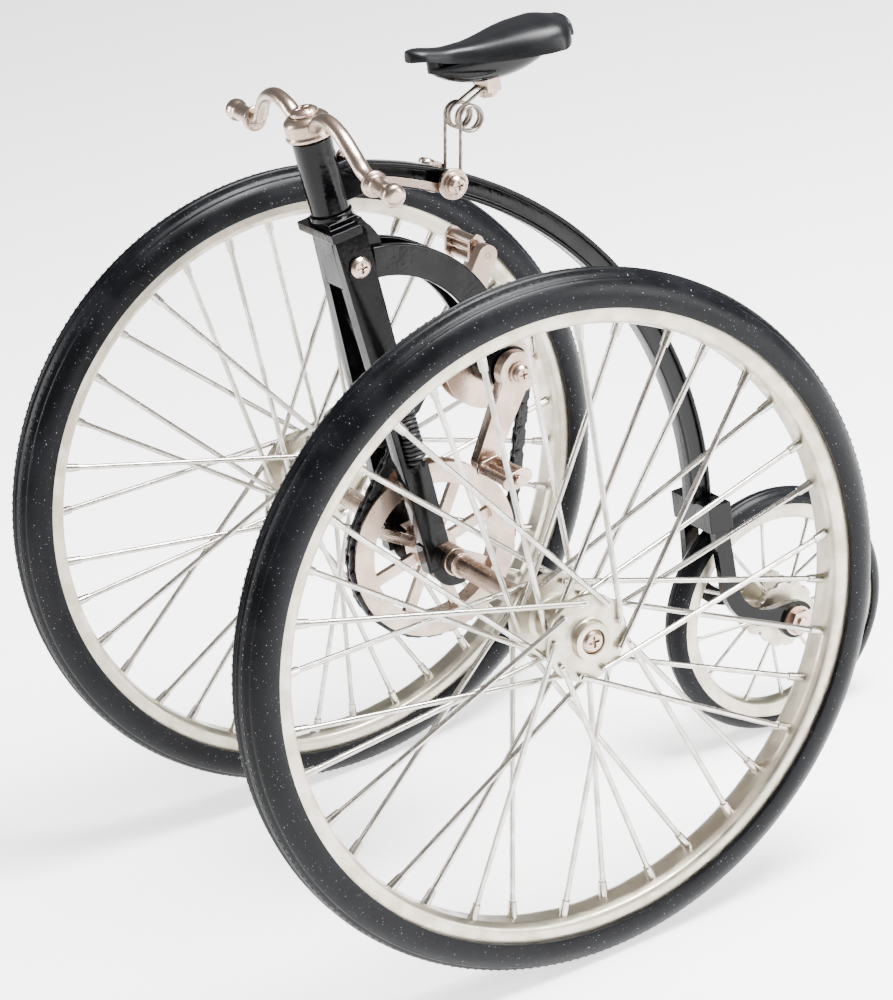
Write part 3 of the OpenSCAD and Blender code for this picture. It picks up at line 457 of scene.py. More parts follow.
front_channel = rim_profile(rim_r, rim_w, depth=4.4, wall=0.9)
for side, hand in SIDES:
    make(f"rim-{hand}", f"rim_{hand}", [turned(front_channel, wheel_at(side), steps=240)])
rear_channel = rim_profile(rear_rim_r, rear_rim_w, depth=4.2, wall=0.7)
make("rim-rear", "rim_rear", [turned(rear_channel, rear_axle, steps=180)])
print(f"rim radius {rim_r:.1f} mm under {tyre_h:.1f} mm of tyre")

# %% [markdown]
# Spokes, chain links, springs and tread beads repeat, so each is grown by a Geometry Nodes tree.
# A loop could copy meshes instead, but a tree states the rule once and takes its sizes as named
# inputs. Trees work in millimetres and end in metres, with their instances made real, because the
# export drops instances. `grow` runs a tree once and keeps only the plain mesh that it makes.

# %% Growing repeated pieces
SOCKETS = {int: "NodeSocketInt", float: "NodeSocketFloat", tuple: "NodeSocketVector"}


def new_tree(name, example):
    """A geometry tree with a named input for each size in the example, and those inputs."""
    tree = bpy.data.node_groups.new(name, "GeometryNodeTree")
    for key, value in example.items():
        tree.interface.new_socket(key, in_out="INPUT", socket_type=SOCKETS[type(value)])
    tree.interface.new_socket("Material", in_out="INPUT", socket_type="NodeSocketMaterial")
    tree.interface.new_socket("Geometry", in_out="OUTPUT", socket_type="NodeSocketGeometry")
    return tree, tree.nodes.new("NodeGroupInput").outputs


def finished(tree, size, shape):
    """Ends a tree: instances made real, millimetres made metres, and the material set."""
    real = add(tree, "GeometryNodeRealizeInstances", [shape])
    small = add(tree, "GeometryNodeTransform", {"Geometry": real, "Scale": (MM, MM, MM)})
    done = add(tree, "GeometryNodeSetMaterial", {"Geometry": small, "Material": size["Material"]})
    add(tree, "NodeGroupOutput", [done])
    return tree


def grow(name, tree, sizes, node, crease=40.0):
    """Runs the tree with those sizes and registers the mesh for the part that it stands for."""
    piece = place_mesh(name, bpy.data.meshes.new(name))
    modifier = piece.modifiers.new("grown", "NODES")
    modifier.node_group = tree
    for item in tree.interface.items_tree:
        if item.in_out == "INPUT":
            is_material = item.name == "Material"
            modifier[item.identifier] = FINISH[SLOT_OF[node]] if is_material else sizes[item.name]
    bpy.context.view_layer.update()
    seen = piece.evaluated_get(bpy.context.evaluated_depsgraph_get())
    mesh = bpy.data.meshes.new_from_object(seen)
    piece.modifiers.clear()
    piece.data = mesh
    settle(mesh, crease)
    register(piece, node)


# %% [markdown]
# Spokes and beads both need three small rules: where a piece sits in the plane of a wheel, how
# far round it is among its fellows, and which of two sides it takes.

# %% Rules for a wheel


def in_wheel(tree, x, radius, angle):
    """The point at that radius and angle in the plane of a wheel, x across."""
    back = add(tree, "ShaderNodeMath", [angle], operation="COSINE")
    rise = add(tree, "ShaderNodeMath", [angle], operation="SINE")
    return add(tree, "ShaderNodeCombineXYZ", [
        x, add(tree, "ShaderNodeMath", [radius, back], operation="MULTIPLY"),
        add(tree, "ShaderNodeMath", [radius, rise], operation="MULTIPLY")])


def share_of_turn(tree, index, count):
    """How far round the wheel this piece is, where count pieces go all the way."""
    step = add(tree, "ShaderNodeMath", [2 * math.pi, count], operation="DIVIDE")
    return add(tree, "ShaderNodeMath", [index, step], operation="MULTIPLY")


def alternate(tree, number):
    """1 for an even number and -1 for an odd one."""
    odd = add(tree, "ShaderNodeMath", [number, 2.0], operation="MODULO")
    return add(tree, "ShaderNodeMath", [odd, -2.0, 1.0], operation="MULTIPLY_ADD")


# %% [markdown]
# A front wheel is laced: each flange carries as many leading as trailing spokes, and each spoke is
# a straight wire from a pin in its flange to a nipple in the rim. Leading spokes lie on one face
# of their flange and trailing ones on the other, which leaves them room to cross. One spoke and
# nipple are made a millimetre long and stretched to each one's length. The rear wheel uses the
# same tree with no lean, so its spokes come out radial.

# %% Sizes of the spokes
FRONT_SPOKES = {"Count": 36, "Flange": 7.8, "Offset": 1.48, "Root": 8.5, "End": 68.7,
                "Inset": 1.06, "Lean": math.radians(72), "Wire": 0.65, "Nipple": 1.17, "Pin": 0.62,
                "Centre": (0.0, 0.0, 0.0)}
REAR_SPOKES = dict(FRONT_SPOKES, Count=12, Flange=3.6, Offset=0.0, Root=2.7, End=24.6, Inset=1.1,
                   Lean=0.0, Wire=0.45, Nipple=0.75, Pin=0.4, Centre=tuple(rear_axle))
print(FRONT_SPOKES["Count"], "front spokes a wheel and", REAR_SPOKES["Count"], "rear spokes")

# %% Spokes


def unit_spoke(tree, size):
    """A wire one millimetre long with its nipple near the far end."""
    rod = add(tree, "GeometryNodeMeshCylinder",
              {"Vertices": 14, "Radius": size["Wire"], "Depth": 1.0})
    wire = add(tree, "GeometryNodeTransform", {"Geometry": rod, "Translation": (0, 0, 0.5)})
    foot = add(tree, "ShaderNodeMath", [size["Nipple"], 0.8], operation="MULTIPLY")
    taper = add(tree, "GeometryNodeMeshCone", {
        "Vertices": 14, "Radius Top": size["Nipple"], "Radius Bottom": foot, "Depth": 0.06},
        output="Mesh")
    nipple = add(tree, "GeometryNodeTransform", {"Geometry": taper, "Translation": (0, 0, 0.94)})
    return add(tree, "GeometryNodeJoinGeometry", [[wire, nipple]])


def spread(tree, size, positions, shape, **turns):
    """One copy of the shape at each position."""
    points = add(tree, "GeometryNodePoints", {"Count": size["Count"], "Position": positions})
    return add(tree, "GeometryNodeInstanceOnPoints", {
        "Points": points, "Instance": shape, **turns})


def spoke_tree():
    tree, size = new_tree("laced spokes", FRONT_SPOKES)
    index = add(tree, "GeometryNodeInputIndex")
    pair = add(tree, "ShaderNodeMath", [index, 2.0], operation="DIVIDE")
    flange = alternate(tree, index)
    way = alternate(tree, add(tree, "ShaderNodeMath", [pair], operation="FLOOR"))
    angle = share_of_turn(tree, index, size["Count"])
    lean = add(tree, "ShaderNodeMath", [way, size["Lean"]], operation="MULTIPLY")
    root = add(tree, "ShaderNodeMath", [angle, lean], operation="SUBTRACT")
    out = add(tree, "ShaderNodeMath", [way, size["Offset"], size["Flange"]],
              operation="MULTIPLY_ADD")
    spoke_x, rim_x, flange_x = (add(tree, "ShaderNodeMath", [flange, x], operation="MULTIPLY")
                                for x in (out, size["Inset"], size["Flange"]))
    start = in_wheel(tree, spoke_x, size["Root"], root)
    end = in_wheel(tree, rim_x, size["End"], angle)
    run = add(tree, "ShaderNodeVectorMath", [end, start], operation="SUBTRACT")
    length = add(tree, "ShaderNodeVectorMath", [run], output="Value", operation="LENGTH")
    aim = add(tree, "FunctionNodeAlignRotationToVector", {"Vector": run}, axis="Z")
    stretch = add(tree, "ShaderNodeCombineXYZ", [1.0, 1.0, length])
    spokes = spread(tree, size, start, unit_spoke(tree, size), Rotation=aim, Scale=stretch)
    pin_length = add(tree, "ShaderNodeMath", [size["Offset"], 2.0, 0.5], operation="MULTIPLY_ADD")
    pin = add(tree, "GeometryNodeMeshCylinder",
              {"Vertices": 12, "Radius": size["Pin"], "Depth": pin_length})
    across = add(tree, "GeometryNodeTransform",
                 {"Geometry": pin, "Rotation": (0, math.pi / 2, 0)})
    pins = spread(tree, size, in_wheel(tree, flange_x, size["Root"], root), across)
    wheel = add(tree, "GeometryNodeJoinGeometry", [[spokes, pins]])
    return finished(tree, size, add(tree, "GeometryNodeTransform",
                                    {"Geometry": wheel, "Translation": size["Centre"]}))


laced = spoke_tree()
for side, hand in SIDES:
    sizes = dict(FRONT_SPOKES, Centre=wheel_at(side))
    grow(f"wheel-spokes-{hand}", laced, sizes, f"spokes_{hand}")
grow("wheel-spokes-rear", laced, REAR_SPOKES, "spokes_rear")

# %% [markdown]
# The chain is a run of links, wide and narrow in turn, joined by rollers. It follows the pitch
# line: an arc round each sprocket and a straight run between them. The path could be written out
# point by point; here each arc is drawn as points, and closing the two sets into one curve gives
# the straight runs for free. Resampling it then spaces the links evenly.

# %% The chain's pitch line
AXLE_TEETH, CRANK_TEETH = 47, 26
PLATE = 0.5
CHAIN = {"Links": 76, "Pitch": 2.8, "Height": 2.4, "Width": 2.6, "Low radius": 20.9,
         "High radius": 11.6, "Low start": 0.0, "Low sweep": 3.0, "High start": 0.0,
         "High sweep": 3.0, "Low centre": (0.0, 0.0, 0.0), "High centre": (0.0, 0.0, 0.0)}
low_r, high_r = (teeth * CHAIN["Pitch"] / (2 * math.pi) for teeth in (AXLE_TEETH, CRANK_TEETH))
gap_y, gap_z = crank_axle.y - front_axle.y, crank_axle.z - front_axle.z
climb = math.atan2(gap_z, gap_y)
centres = math.hypot(gap_y, gap_z)
lean_in = math.asin((low_r - high_r) / centres)
loop_length = (low_r * (math.pi + 2 * lean_in) + high_r * (math.pi - 2 * lean_in)
               + 2 * math.sqrt(centres ** 2 - (low_r - high_r) ** 2))
link_count = 2 * round(loop_length / CHAIN["Pitch"] / 2)
print(f"chain of {link_count} links, {loop_length:.1f} mm round")

# %% Chain links


def sprocket_arc(tree, size, which):
    """Points along the pitch line round one sprocket, drawn flat."""
    bend = add(tree, "GeometryNodeCurveArc", {
        "Resolution": 96, "Radius": size[which + " radius"],
        "Start Angle": size[which + " start"], "Sweep Angle": size[which + " sweep"]},
        mode="RADIUS")
    placed = add(tree, "GeometryNodeTransform",
                 {"Geometry": bend, "Translation": size[which + " centre"]})
    return add(tree, "GeometryNodeCurveToPoints", {"Curve": placed}, mode="EVALUATED")


def chain_link(tree, size, width):
    """Two plates, each a bar with round ends, and two rollers through them."""
    half = add(tree, "ShaderNodeMath", [size["Pitch"], 0.5], operation="MULTIPLY")
    ends = [add(tree, "ShaderNodeMath", [half, end], operation="MULTIPLY") for end in (1.0, -1.0)]
    end_r, waist, roller_r = (add(tree, "ShaderNodeMath", [size["Height"], share],
                             operation="MULTIPLY") for share in (0.5, 0.94, 0.34))
    edge = add(tree, "ShaderNodeMath", [width, 0.5], operation="MULTIPLY")
    inner = add(tree, "ShaderNodeMath", [edge, PLATE / 2], operation="SUBTRACT")
    bar = add(tree, "ShaderNodeCombineXYZ", [size["Pitch"], waist, 0.48])
    roller_w = add(tree, "ShaderNodeMath", [width, 0.3], operation="ADD")
    parts = []
    for face in (1.0, -1.0):
        z = add(tree, "ShaderNodeMath", [inner, face], operation="MULTIPLY")
        disc = add(tree, "GeometryNodeMeshCylinder",
                   {"Vertices": 16, "Radius": end_r, "Depth": PLATE})
        plate = add(tree, "GeometryNodeMeshCube", {"Size": bar})
        parts += [(disc, x, z) for x in ends] + [(plate, 0.0, z)]
    roller = add(tree, "GeometryNodeMeshCylinder",
                 {"Vertices": 12, "Radius": roller_r, "Depth": roller_w})
    parts += [(roller, x, 0.0) for x in ends]
    placed = [add(tree, "GeometryNodeTransform", {
        "Geometry": shape, "Translation": add(tree, "ShaderNodeCombineXYZ", [x, 0.0, z])})
        for shape, x, z in parts]
    whole = add(tree, "GeometryNodeJoinGeometry", [placed])
    return add(tree, "GeometryNodeGeometryToInstance", [whole])


# %% Chain


def chain_tree():
    tree, size = new_tree("roller chain", CHAIN)
    both = [sprocket_arc(tree, size, "Low"), sprocket_arc(tree, size, "High")]
    loop = add(tree, "GeometryNodePointsToCurves",
               {"Points": add(tree, "GeometryNodeJoinGeometry", [both])})
    closed = add(tree, "GeometryNodeSetSplineCyclic", {"Geometry": loop, "Cyclic": True})
    steps = add(tree, "GeometryNodeResampleCurve", {"Curve": closed, "Count": size["Links"]})
    turn = add(tree, "FunctionNodeAlignRotationToVector",
               {"Vector": add(tree, "GeometryNodeInputTangent")}, axis="X", pivot_axis="Z")
    narrow = add(tree, "ShaderNodeMath", [size["Width"], 0.6], operation="MULTIPLY")
    kinds = [chain_link(tree, size, width) for width in (size["Width"], narrow)]
    odd = add(tree, "ShaderNodeMath", [add(tree, "GeometryNodeInputIndex"), 2.0],
              operation="MODULO")
    links = add(tree, "GeometryNodeInstanceOnPoints", {
        "Points": steps, "Instance": add(tree, "GeometryNodeJoinGeometry", [kinds]),
        "Pick Instance": True, "Rotation": turn, "Instance Index": odd})
    upright = add(tree, "GeometryNodeTransform",
                  {"Geometry": links, "Rotation": (math.pi / 2, 0, math.pi / 2)})
    return finished(tree, size, upright)


grow("drive-chain", chain_tree(), dict(
    CHAIN, Links=link_count, **{
        "Low radius": low_r, "High radius": high_r,
        "Low start": climb + math.pi / 2 - lean_in, "Low sweep": math.pi + 2 * lean_in,
        "High start": climb - math.pi / 2 + lean_in, "High sweep": math.pi - 2 * lean_in,
        "Low centre": (front_axle.y, front_axle.z, 0.0),
        "High centre": (crank_axle.y, crank_axle.z, 0.0)}), "chain")

# %% [markdown]
# Each fork leg carries a close-wound black spring. Stacked rings would look much the same, but the
# real wire climbs, so it is a true helix swept with a round wire; the right one is the mirror of
# the left. The engineering part is a ribbed post, and the spring's axis is the long axis of its
# points.

# %% Fork springs
SPRING = {"Turns": 16.0, "Radius": 2.4, "Wire": 0.5, "Height": 19.0,
          "Foot": (0.0, 0.0, 0.0), "Lean": (0.0, 0.0, 0.0)}
SPRING_GAP = 0.8


def spring_tree():
    tree, size = new_tree("wound springs", SPRING)
    helix = add(tree, "GeometryNodeCurveSpiral", {
        "Resolution": 20, "Rotations": size["Turns"], "Start Radius": size["Radius"],
        "End Radius": size["Radius"], "Height": size["Height"]})
    wire = add(tree, "GeometryNodeCurvePrimitiveCircle",
               {"Resolution": 8, "Radius": size["Wire"]})
    coil = add(tree, "GeometryNodeCurveToMesh",
               {"Curve": helix, "Profile Curve": wire, "Fill Caps": True})
    left = add(tree, "GeometryNodeTransform", {
        "Geometry": coil, "Translation": size["Foot"], "Rotation": size["Lean"]})
    right = add(tree, "GeometryNodeTransform", {"Geometry": left, "Scale": (-1, 1, 1)})
    return finished(tree, size, add(tree, "GeometryNodeJoinGeometry", [[left, right]]))


def long_axis(name):
    """Ends of the line through the left half of a part: its foot and its head."""
    spots = np.array([v.co[:] for v in frame["nodes"][name].data.vertices if v.co.x > 0]) / MM
    centre = spots.mean(axis=0)
    along = np.linalg.svd(spots - centre, full_matrices=False)[2][0]
    along = along if along[2] > 0 else -along
    reach = (spots - centre) @ along
    return Vector(centre + along * reach.min()), Vector(centre + along * reach.max())


foot, head = long_axis("fork_springs")
leg_dir = (head - foot).normalized()
leg_turn = Vector((0, 0, 1)).rotation_difference(leg_dir).to_euler()
height = (head - foot).length - 2 * SPRING_GAP
grow("fork-spring-coils", spring_tree(), dict(
    SPRING, Height=height, Foot=tuple(foot + leg_dir * SPRING_GAP), Lean=tuple(leg_turn)),
    "fork_springs")
print(f"springs {height:.1f} mm long")

# %% [markdown]
# A row of small moulded beads runs along each side of the front tyres' crown. A bump would vanish
# at the tyre's outline, so each bead is a real block. One ring serves both rows: even ones go left
# and odd ones right, and each is sunk until it stands just proud of the rubber.

# %% Tread beads
BEADS = {"Count": 480, "Radius": 79.6, "Across": 2.3, "Length": 0.62, "Width": 0.62, "Tall": 0.5,
         "Centre": (0.0, 0.0, 0.0)}
BEAD_SUNK = 0.23


def bead_tree():
    tree, size = new_tree("tread beads", BEADS)
    index = add(tree, "GeometryNodeInputIndex")
    angle = share_of_turn(tree, index, size["Count"])
    x = add(tree, "ShaderNodeMath", [alternate(tree, index), size["Across"]],
            operation="MULTIPLY")
    block = add(tree, "GeometryNodeMeshCube", {"Size": add(
        tree, "ShaderNodeCombineXYZ", [size["Width"], size["Length"], size["Tall"]])})
    turn = add(tree, "FunctionNodeAlignRotationToVector",
               {"Vector": in_wheel(tree, 0.0, 1.0, angle)}, axis="Z", pivot_axis="X")
    beads = spread(tree, size, in_wheel(tree, x, size["Radius"], angle), block, Rotation=turn)
    return finished(tree, size, add(tree, "GeometryNodeTransform",
                                    {"Geometry": beads, "Translation": size["Centre"]}))


def tread_radius(across):
    """Radius of the plain tyre's surface at that distance from its middle."""
    section = tyre_w / 2
    return wheel_r - section + math.sqrt(section ** 2 - across ** 2)


beads = bead_tree()
bead_r = tread_radius(BEADS["Across"]) - BEAD_SUNK
for side, hand in SIDES:
    grow(f"tread-{hand}", beads, dict(BEADS, Radius=bead_r, Centre=wheel_at(side)),
         f"tyre_{hand}", 20)

# %% [markdown]
# Bars and wires are bent from stock, so a section is carried along a path. A bevelled curve could
# do it, but it can't change its section on the way as the handlebar does. `smoothed` runs a curve
# through a few key points, so a bend reads as bent metal and not as joined sticks.

# %% Swept shapes


def swept(path, section, side=ACROSS):
    """(points, faces) of a section carried along a path; section(t) gives its outline."""
    points, faces = [], []
    last = len(path) - 1
    for i, here in enumerate(path):
        ahead = (path[min(i + 1, last)] - path[max(i - 1, 0)]).normalized()
        side = (side - ahead * side.dot(ahead)).normalized()
        up = ahead.cross(side)
        ring = section(i / last)
        points += [here + side * a + up * b for a, b in ring]
    count = len(ring)
    for i in range(last):
        for k in range(count):
            j = (k + 1) % count
            faces.append((i * count + k, i * count + j, (i + 1) * count + j, (i + 1) * count + k))
    faces += [tuple(range(count)), tuple(range(last * count, (last + 1) * count))]
    return points, faces


def oval(width, height, sides=16):
    return [(width * math.cos(2 * math.pi * k / sides), height * math.sin(2 * math.pi * k / sides))
            for k in range(sides)]


def smoothed(keys, steps=8):
    """A curve through the key points."""
    keys = [Vector(k) for k in keys]
    padded = [2 * keys[0] - keys[1]] + keys + [2 * keys[-1] - keys[-2]]
    path = []
    for a, b, c, d in zip(padded, padded[1:], padded[2:], padded[3:]):
        for k in range(steps):
            t = k / steps
            path.append(0.5 * (2 * b + (c - a) * t + (2 * a - 5 * b + 4 * c - d) * t ** 2
                               + (3 * b - a - 3 * c + d) * t ** 3))
    return path + [keys[-1]]


# %% [markdown]
# The cap, handlebar and grips are all placed from the steering head, which isn't upright. Turning
# finished objects would leave them with a rotation, so `on_head` turns the places themselves: it
# takes one given across, back and up along the head, and gives it in the machine's frame.

# %% Places on the steering head
joints = {joint["name"]: joint for joint in frame["record"]["behaviour"]["joints"]}
head_base = Vector(joints["steer"]["pos_m"]) / MM
head_up = Vector(joints["steer"]["axis"])
head_back = ACROSS.cross(head_up) * -1
CAP_V, BAR_V = 104.3, 107.3


def on_head(x, back, v):
    return head_base + ACROSS * x + head_back * back + head_up * v


print("head leans", round(math.degrees(math.acos(head_up.z)), 2), "degrees")

# %% [markdown]
# The handlebar is a bent rod, thickest and roundest at the cap, that drops towards the grips.
# It was bent by hand, so the whole bar droops towards the left and the left arm reaches forwards.
# A mirrored pair of arms would be simpler but would lose that, so one list of key points is
# tilted and turned for each side. The grips are turned, with a collar and a knob.

# %% Handlebar and grips
DROOP, LEFT_REACH = math.radians(3), math.radians(4)
GRIP_IN, GRIP_LENGTH, GRIP_V = 30.0, 10, -6.1
BAR_KEYS = ((2.5, 0, -0.4), (5.5, 0, 1.0), (8.5, 0, 2.9), (13.5, 0, 4.0), (GRIP_IN - 11, 0.2, 2.3),
            (GRIP_IN - 6.5, 0.4, -1.3), (GRIP_IN - 3.5, 0.6, -4.4), (GRIP_IN + 1, 0.8, -6.2))
GRIP = [(0, 0), (0, 2.6), (0.3, 3.0), (1.2, 3.0), (1.8, 2.0), (2.6, 1.75), (5.0, 1.85), (7.2, 1.9),
        (8.2, 2.0), (9.0, 2.4), (9.9, 2.65), (10.9, 2.6), (11.6, 2.2), (12.0, 1.4), (12.0, 0)]


def on_bar(side, place):
    """A place on one arm of the bar: outwards, back and above the bar's middle."""
    x, back, v = place
    reach = LEFT_REACH if side > 0 else 0.0
    out = side * (x * math.cos(reach) + back * math.sin(reach))
    back = back * math.cos(reach) - x * math.sin(reach)
    return on_head(out * math.cos(DROOP) + v * math.sin(DROOP), back,
                   BAR_V + v * math.cos(DROOP) - out * math.sin(DROOP))


def bar_section(t):
    """Thicker and rounder at the cap, where t is 0."""
    return oval(1.75 + 0.2 * (1 - t), 1.4 + 0.3 * (1 - t))


make("handlebar-arms", "handlebar",
     [swept(smoothed([on_bar(side, key) for key in BAR_KEYS]), bar_section, head_back)
      for side in (1, -1)], 40)
for side, hand in SIDES:
    inner = on_bar(side, (GRIP_IN, 0.8, GRIP_V))
    outer = on_bar(side, (GRIP_IN + GRIP_LENGTH, 0.8, GRIP_V))
    shape = turned(rounded(GRIP, 0.3, 2, closed=False), inner, outer - inner, 40, ring=False)
    make(f"bar-grip-{hand}", f"grip_{hand}", [shape])

# %% [markdown]
# The head cap is a turned nickel cup with a rolled lower edge and a chamfer under its screw. A
# bevelled cylinder would give every edge the same radius; a profile gives each its own.

# %% Head cap
CAP = [(0, 0), (0, 5.0), (0.3, 5.45), (0.9, 5.5), (1.3, 5.2), (3.9, 5.3), (4.4, 5.1), (5.2, 4.3),
       (5.4, 3.6), (5.4, 0)]
make("turned-head-cap", "head_cap", [turned(
    rounded(CAP, 0.25, 2, closed=False), on_head(0, 0, CAP_V), head_up, 64, ring=False)])

# %% [markdown]
# A front hub is turned too: a slim barrel that flares into two thin flanges, where the spokes
# hook in, then a boss with a sunk seat for the axle's screw. Its profile runs from the inner
# flange outwards, so the right hub is the same profile turned about the opposite direction.

# %% Front hubs
HUB = [(-8.5, 0), (-8.5, 10), (-7.1, 10), (-7.1, 5.6), (-6.4, 4.6), (-5.0, 4.2), (5.0, 4.2),
       (6.4, 4.6), (7.1, 5.6), (7.1, 10), (8.5, 10), (8.5, 5.0), (8.9, 4.3), (11.1, 4.3),
       (11.1, 2.8), (9.7, 2.8), (9.7, 0)]
for side, hand in SIDES:
    make(f"turned-hub-{hand}", f"hub_{hand}", [turned(
        rounded(HUB, 0.3, 2, closed=False), wheel_at(side), ACROSS * side, 72, ring=False)], 45)

# %% [markdown]
# The backbone is a small I-beam bent to one arc from the head to the rear wheel. The frame gives
# only its faces, so the arc's centre and radius are fitted to them by least squares. The section
# is then swept along it with softened corners.

# %% Backbone
HALF_W, HALF_H, LIP, WEB = 2.3, 2.8, 1.0, 1.2
BEAM_STEPS = 72


def fitted_arc(name):
    """Centre, radius and end angles of a part bent to an arc in the machine's middle plane."""
    spots = np.array([v.co[1:] for v in frame["nodes"][name].data.vertices]) / MM
    flat = np.c_[2 * spots, np.ones(len(spots))]
    y, z, rest = np.linalg.lstsq(flat, (spots ** 2).sum(axis=1), rcond=None)[0]
    angles = np.arctan2(spots[:, 1] - z, spots[:, 0] - y)
    return y, z, math.sqrt(rest + y * y + z * z), angles.min(), angles.max()


arc_y, arc_z, arc_r, arc_low, arc_high = fitted_arc("backbone")
print(f"backbone bent to {arc_r:.1f} mm through {math.degrees(arc_high - arc_low):.0f} degrees")
turns = [arc_high + (arc_low - arc_high) * k / BEAM_STEPS for k in range(BEAM_STEPS + 1)]
path = [Vector((0, arc_y + arc_r * math.cos(a), arc_z + arc_r * math.sin(a))) for a in turns]
beam = rounded([
    (-HALF_W, -HALF_H), (HALF_W, -HALF_H), (HALF_W, -HALF_H + LIP), (WEB, -HALF_H + LIP),
    (WEB, HALF_H - LIP), (HALF_W, HALF_H - LIP), (HALF_W, HALF_H), (-HALF_W, HALF_H),
    (-HALF_W, HALF_H - LIP), (-WEB, HALF_H - LIP), (-WEB, -HALF_H + LIP),
    (-HALF_W, -HALF_H + LIP)], 0.35, 3)
make("bent-backbone", "backbone", [swept(path, lambda t: beam)])

# %% [markdown]
# The saddle hangs on two wire springs. Each is one wire: an eye round the bolt, a leg, and two
# turns of coil. A second wire takes a last turn and runs up to the saddle's clamp. It moves with
# the saddle, so it is its own piece. The wires are swept along loops worked out by a formula,
# which is why they stay round and evenly wound.

# %% Saddle springs
bolt = middle("spring_bolt")
coil_at = Vector(joints["saddle_rock"]["pos_m"]) / MM
clamp = middle("saddle_clamp")
wire_r, coil_r, eye_r = 0.4, 2.9, 2.4
wire_x = high("saddle_springs").x - wire_r
arm_x = high("spring_arms").x - wire_r


def loop(centre, radius, first, last, x0, x1, steps):
    """Points of a loop in the wheel plane from angle first to last, drifting from x0 to x1."""
    out = []
    for k in range(steps + 1):
        t = k / steps
        a = math.radians(first + (last - first) * t)
        out.append(Vector((x0 + (x1 - x0) * t, centre.y + radius * math.cos(a),
                           centre.z + radius * math.sin(a))))
    return out


def wire_pair(name, path, node):
    """The same wire on both sides of the machine."""
    make(name, node, [swept([Vector((side * p.x, p.y, p.z)) for p in path],
                            lambda t: oval(wire_r, wire_r, 12)) for side in (1, -1)])


wire_pair("saddle-spring-wires",
          loop(bolt, eye_r, -325, 0, wire_x, wire_x, 40)
          + loop(coil_at, coil_r, 180, -540, wire_x, wire_x - 0.75, 84), "saddle_springs")
wire_pair("saddle-arm-wires",
          loop(coil_at, coil_r, 475, 115, arm_x, arm_x, 44)
          + [Vector((arm_x, clamp.y - 0.5, clamp.z))], "spring_arms")

# %% [markdown]
# The saddle is a pressed shell: a narrow nose, a waist that swells to broad rear corners, a low
# domed top with rounded edges and a thin turned-down skirt. A subdivided box could be pushed to that
# shape, but closed sections from nose to back let width, height and depth each follow a rule, and
# give the skirt its real thickness. A boat-shaped pan on two posts hangs under it.

# %% Saddle


def eased(t):
    t = max(0.0, min(1.0, t))
    return t * t * (3 - 2 * t)


saddle_low, saddle_high = low("saddle_top"), high("saddle_top")
saddle_len = saddle_high.y - saddle_low.y
saddle_w = saddle_high.x - saddle_low.x
NOSE_W, SKIN = 7.0, 1.1


def half_width(t):
    """Half the saddle's width, t of the way back: round nose, long swell, rounded rear corners."""
    swell = (NOSE_W + (saddle_w - NOSE_W) * eased((t - 0.2) / 0.62)) / 2
    nose = math.sqrt(max(0.02, 1 - max(0.0, 1 - t / 0.09) ** 2))
    return swell * nose * math.sqrt(max(0.3, 1 - max(0.0, (t - 0.86) / 0.14) ** 2))


def crest(t):
    """Height of the top: down at the nose, a shallow sag behind it, and a fall at the back."""
    sag = 1.5 * eased(t / 0.25) * (1 - eased((t - 0.35) / 0.4))
    return saddle_high.z - sag - 9 * max(0.0, 0.12 - t) ** 1.5 - 1.2 * eased((t - 0.85) / 0.15)


def squared(width, height, steps=28):
    """Upper half of a squared oval, from right to left."""
    out = []
    for k in range(steps + 1):
        a = math.pi * k / steps
        c, s = math.cos(a), math.sin(a)
        out.append((width * math.copysign(abs(c) ** 0.78, c), height * abs(s) ** 0.78))
    return out


def shell_ring(t):
    """One closed section of the shell, t of the way back, dished a little along its middle."""
    depth = 2.6 + 4.4 * eased(t / 0.8) - 2.8 * eased((t - 0.86) / 0.14)
    wide = half_width(t)
    dish = 0.5 * eased(t * 2) * eased((1 - t) * 3)
    outer = squared(wide, depth)
    inner = squared(max(0.15, wide - SKIN), depth - SKIN)
    base = crest(t) - depth
    place = saddle_low.y + t * saddle_len
    ring = []
    for x, h in outer + inner[::-1]:
        low_middle = dish * max(0.0, 1 - (x / (wide * 0.8)) ** 2) if h > depth * 0.5 else 0.0
        ring.append(Vector((x, place, base + h - low_middle)))
    return ring


def lofted(rings):
    """Closed solid through closed rings."""
    count = len(rings[0])
    points = [p for ring in rings for p in ring]
    faces = [(i * count + k, i * count + (k + 1) % count, (i + 1) * count + (k + 1) % count,
              (i + 1) * count + k) for i in range(len(rings) - 1) for k in range(count)]
    last = (len(rings) - 1) * count
    half = count // 2
    for start in (0, last):
        faces += [(start + k, start + k + 1, start + count - 2 - k, start + count - 1 - k)
                  for k in range(half - 1)]
    return points, faces


SECTIONS = 60
stations = [0.5 - 0.5 * math.cos(math.pi * k / SECTIONS) for k in range(SECTIONS + 1)]
make("pressed-saddle", "saddle_top", [lofted([shell_ring(t) for t in stations])], 40)
print(f"saddle {saddle_len:.0f} by {saddle_w:.0f} mm")

# %% Saddle pan
pan_low, pan_high = low("saddle_frame"), high("saddle_frame")
pan_wide = extent("saddle_frame").x / 2
pan_top = saddle_high.z - 5.8
POST = [(0, 0), (0, 1.6), (5.0, 1.6), (5.0, 0)]


def pan_ring(t):
    """One closed section of the pan: a boat's hull below and a nearly flat lid."""
    swell = math.sqrt(max(0.01, 1 - (2 * t - 1) ** 2))
    y = pan_low.y + t * (pan_high.y - pan_low.y)
    hull = [(x, -h) for x, h in squared(pan_wide * swell, 6.0 * swell ** 1.3)]
    lid = [(x * 0.96, 0.35 * swell) for x, h in hull]
    return [Vector((x, y, pan_top + h)) for x, h in hull + lid[::-1]]


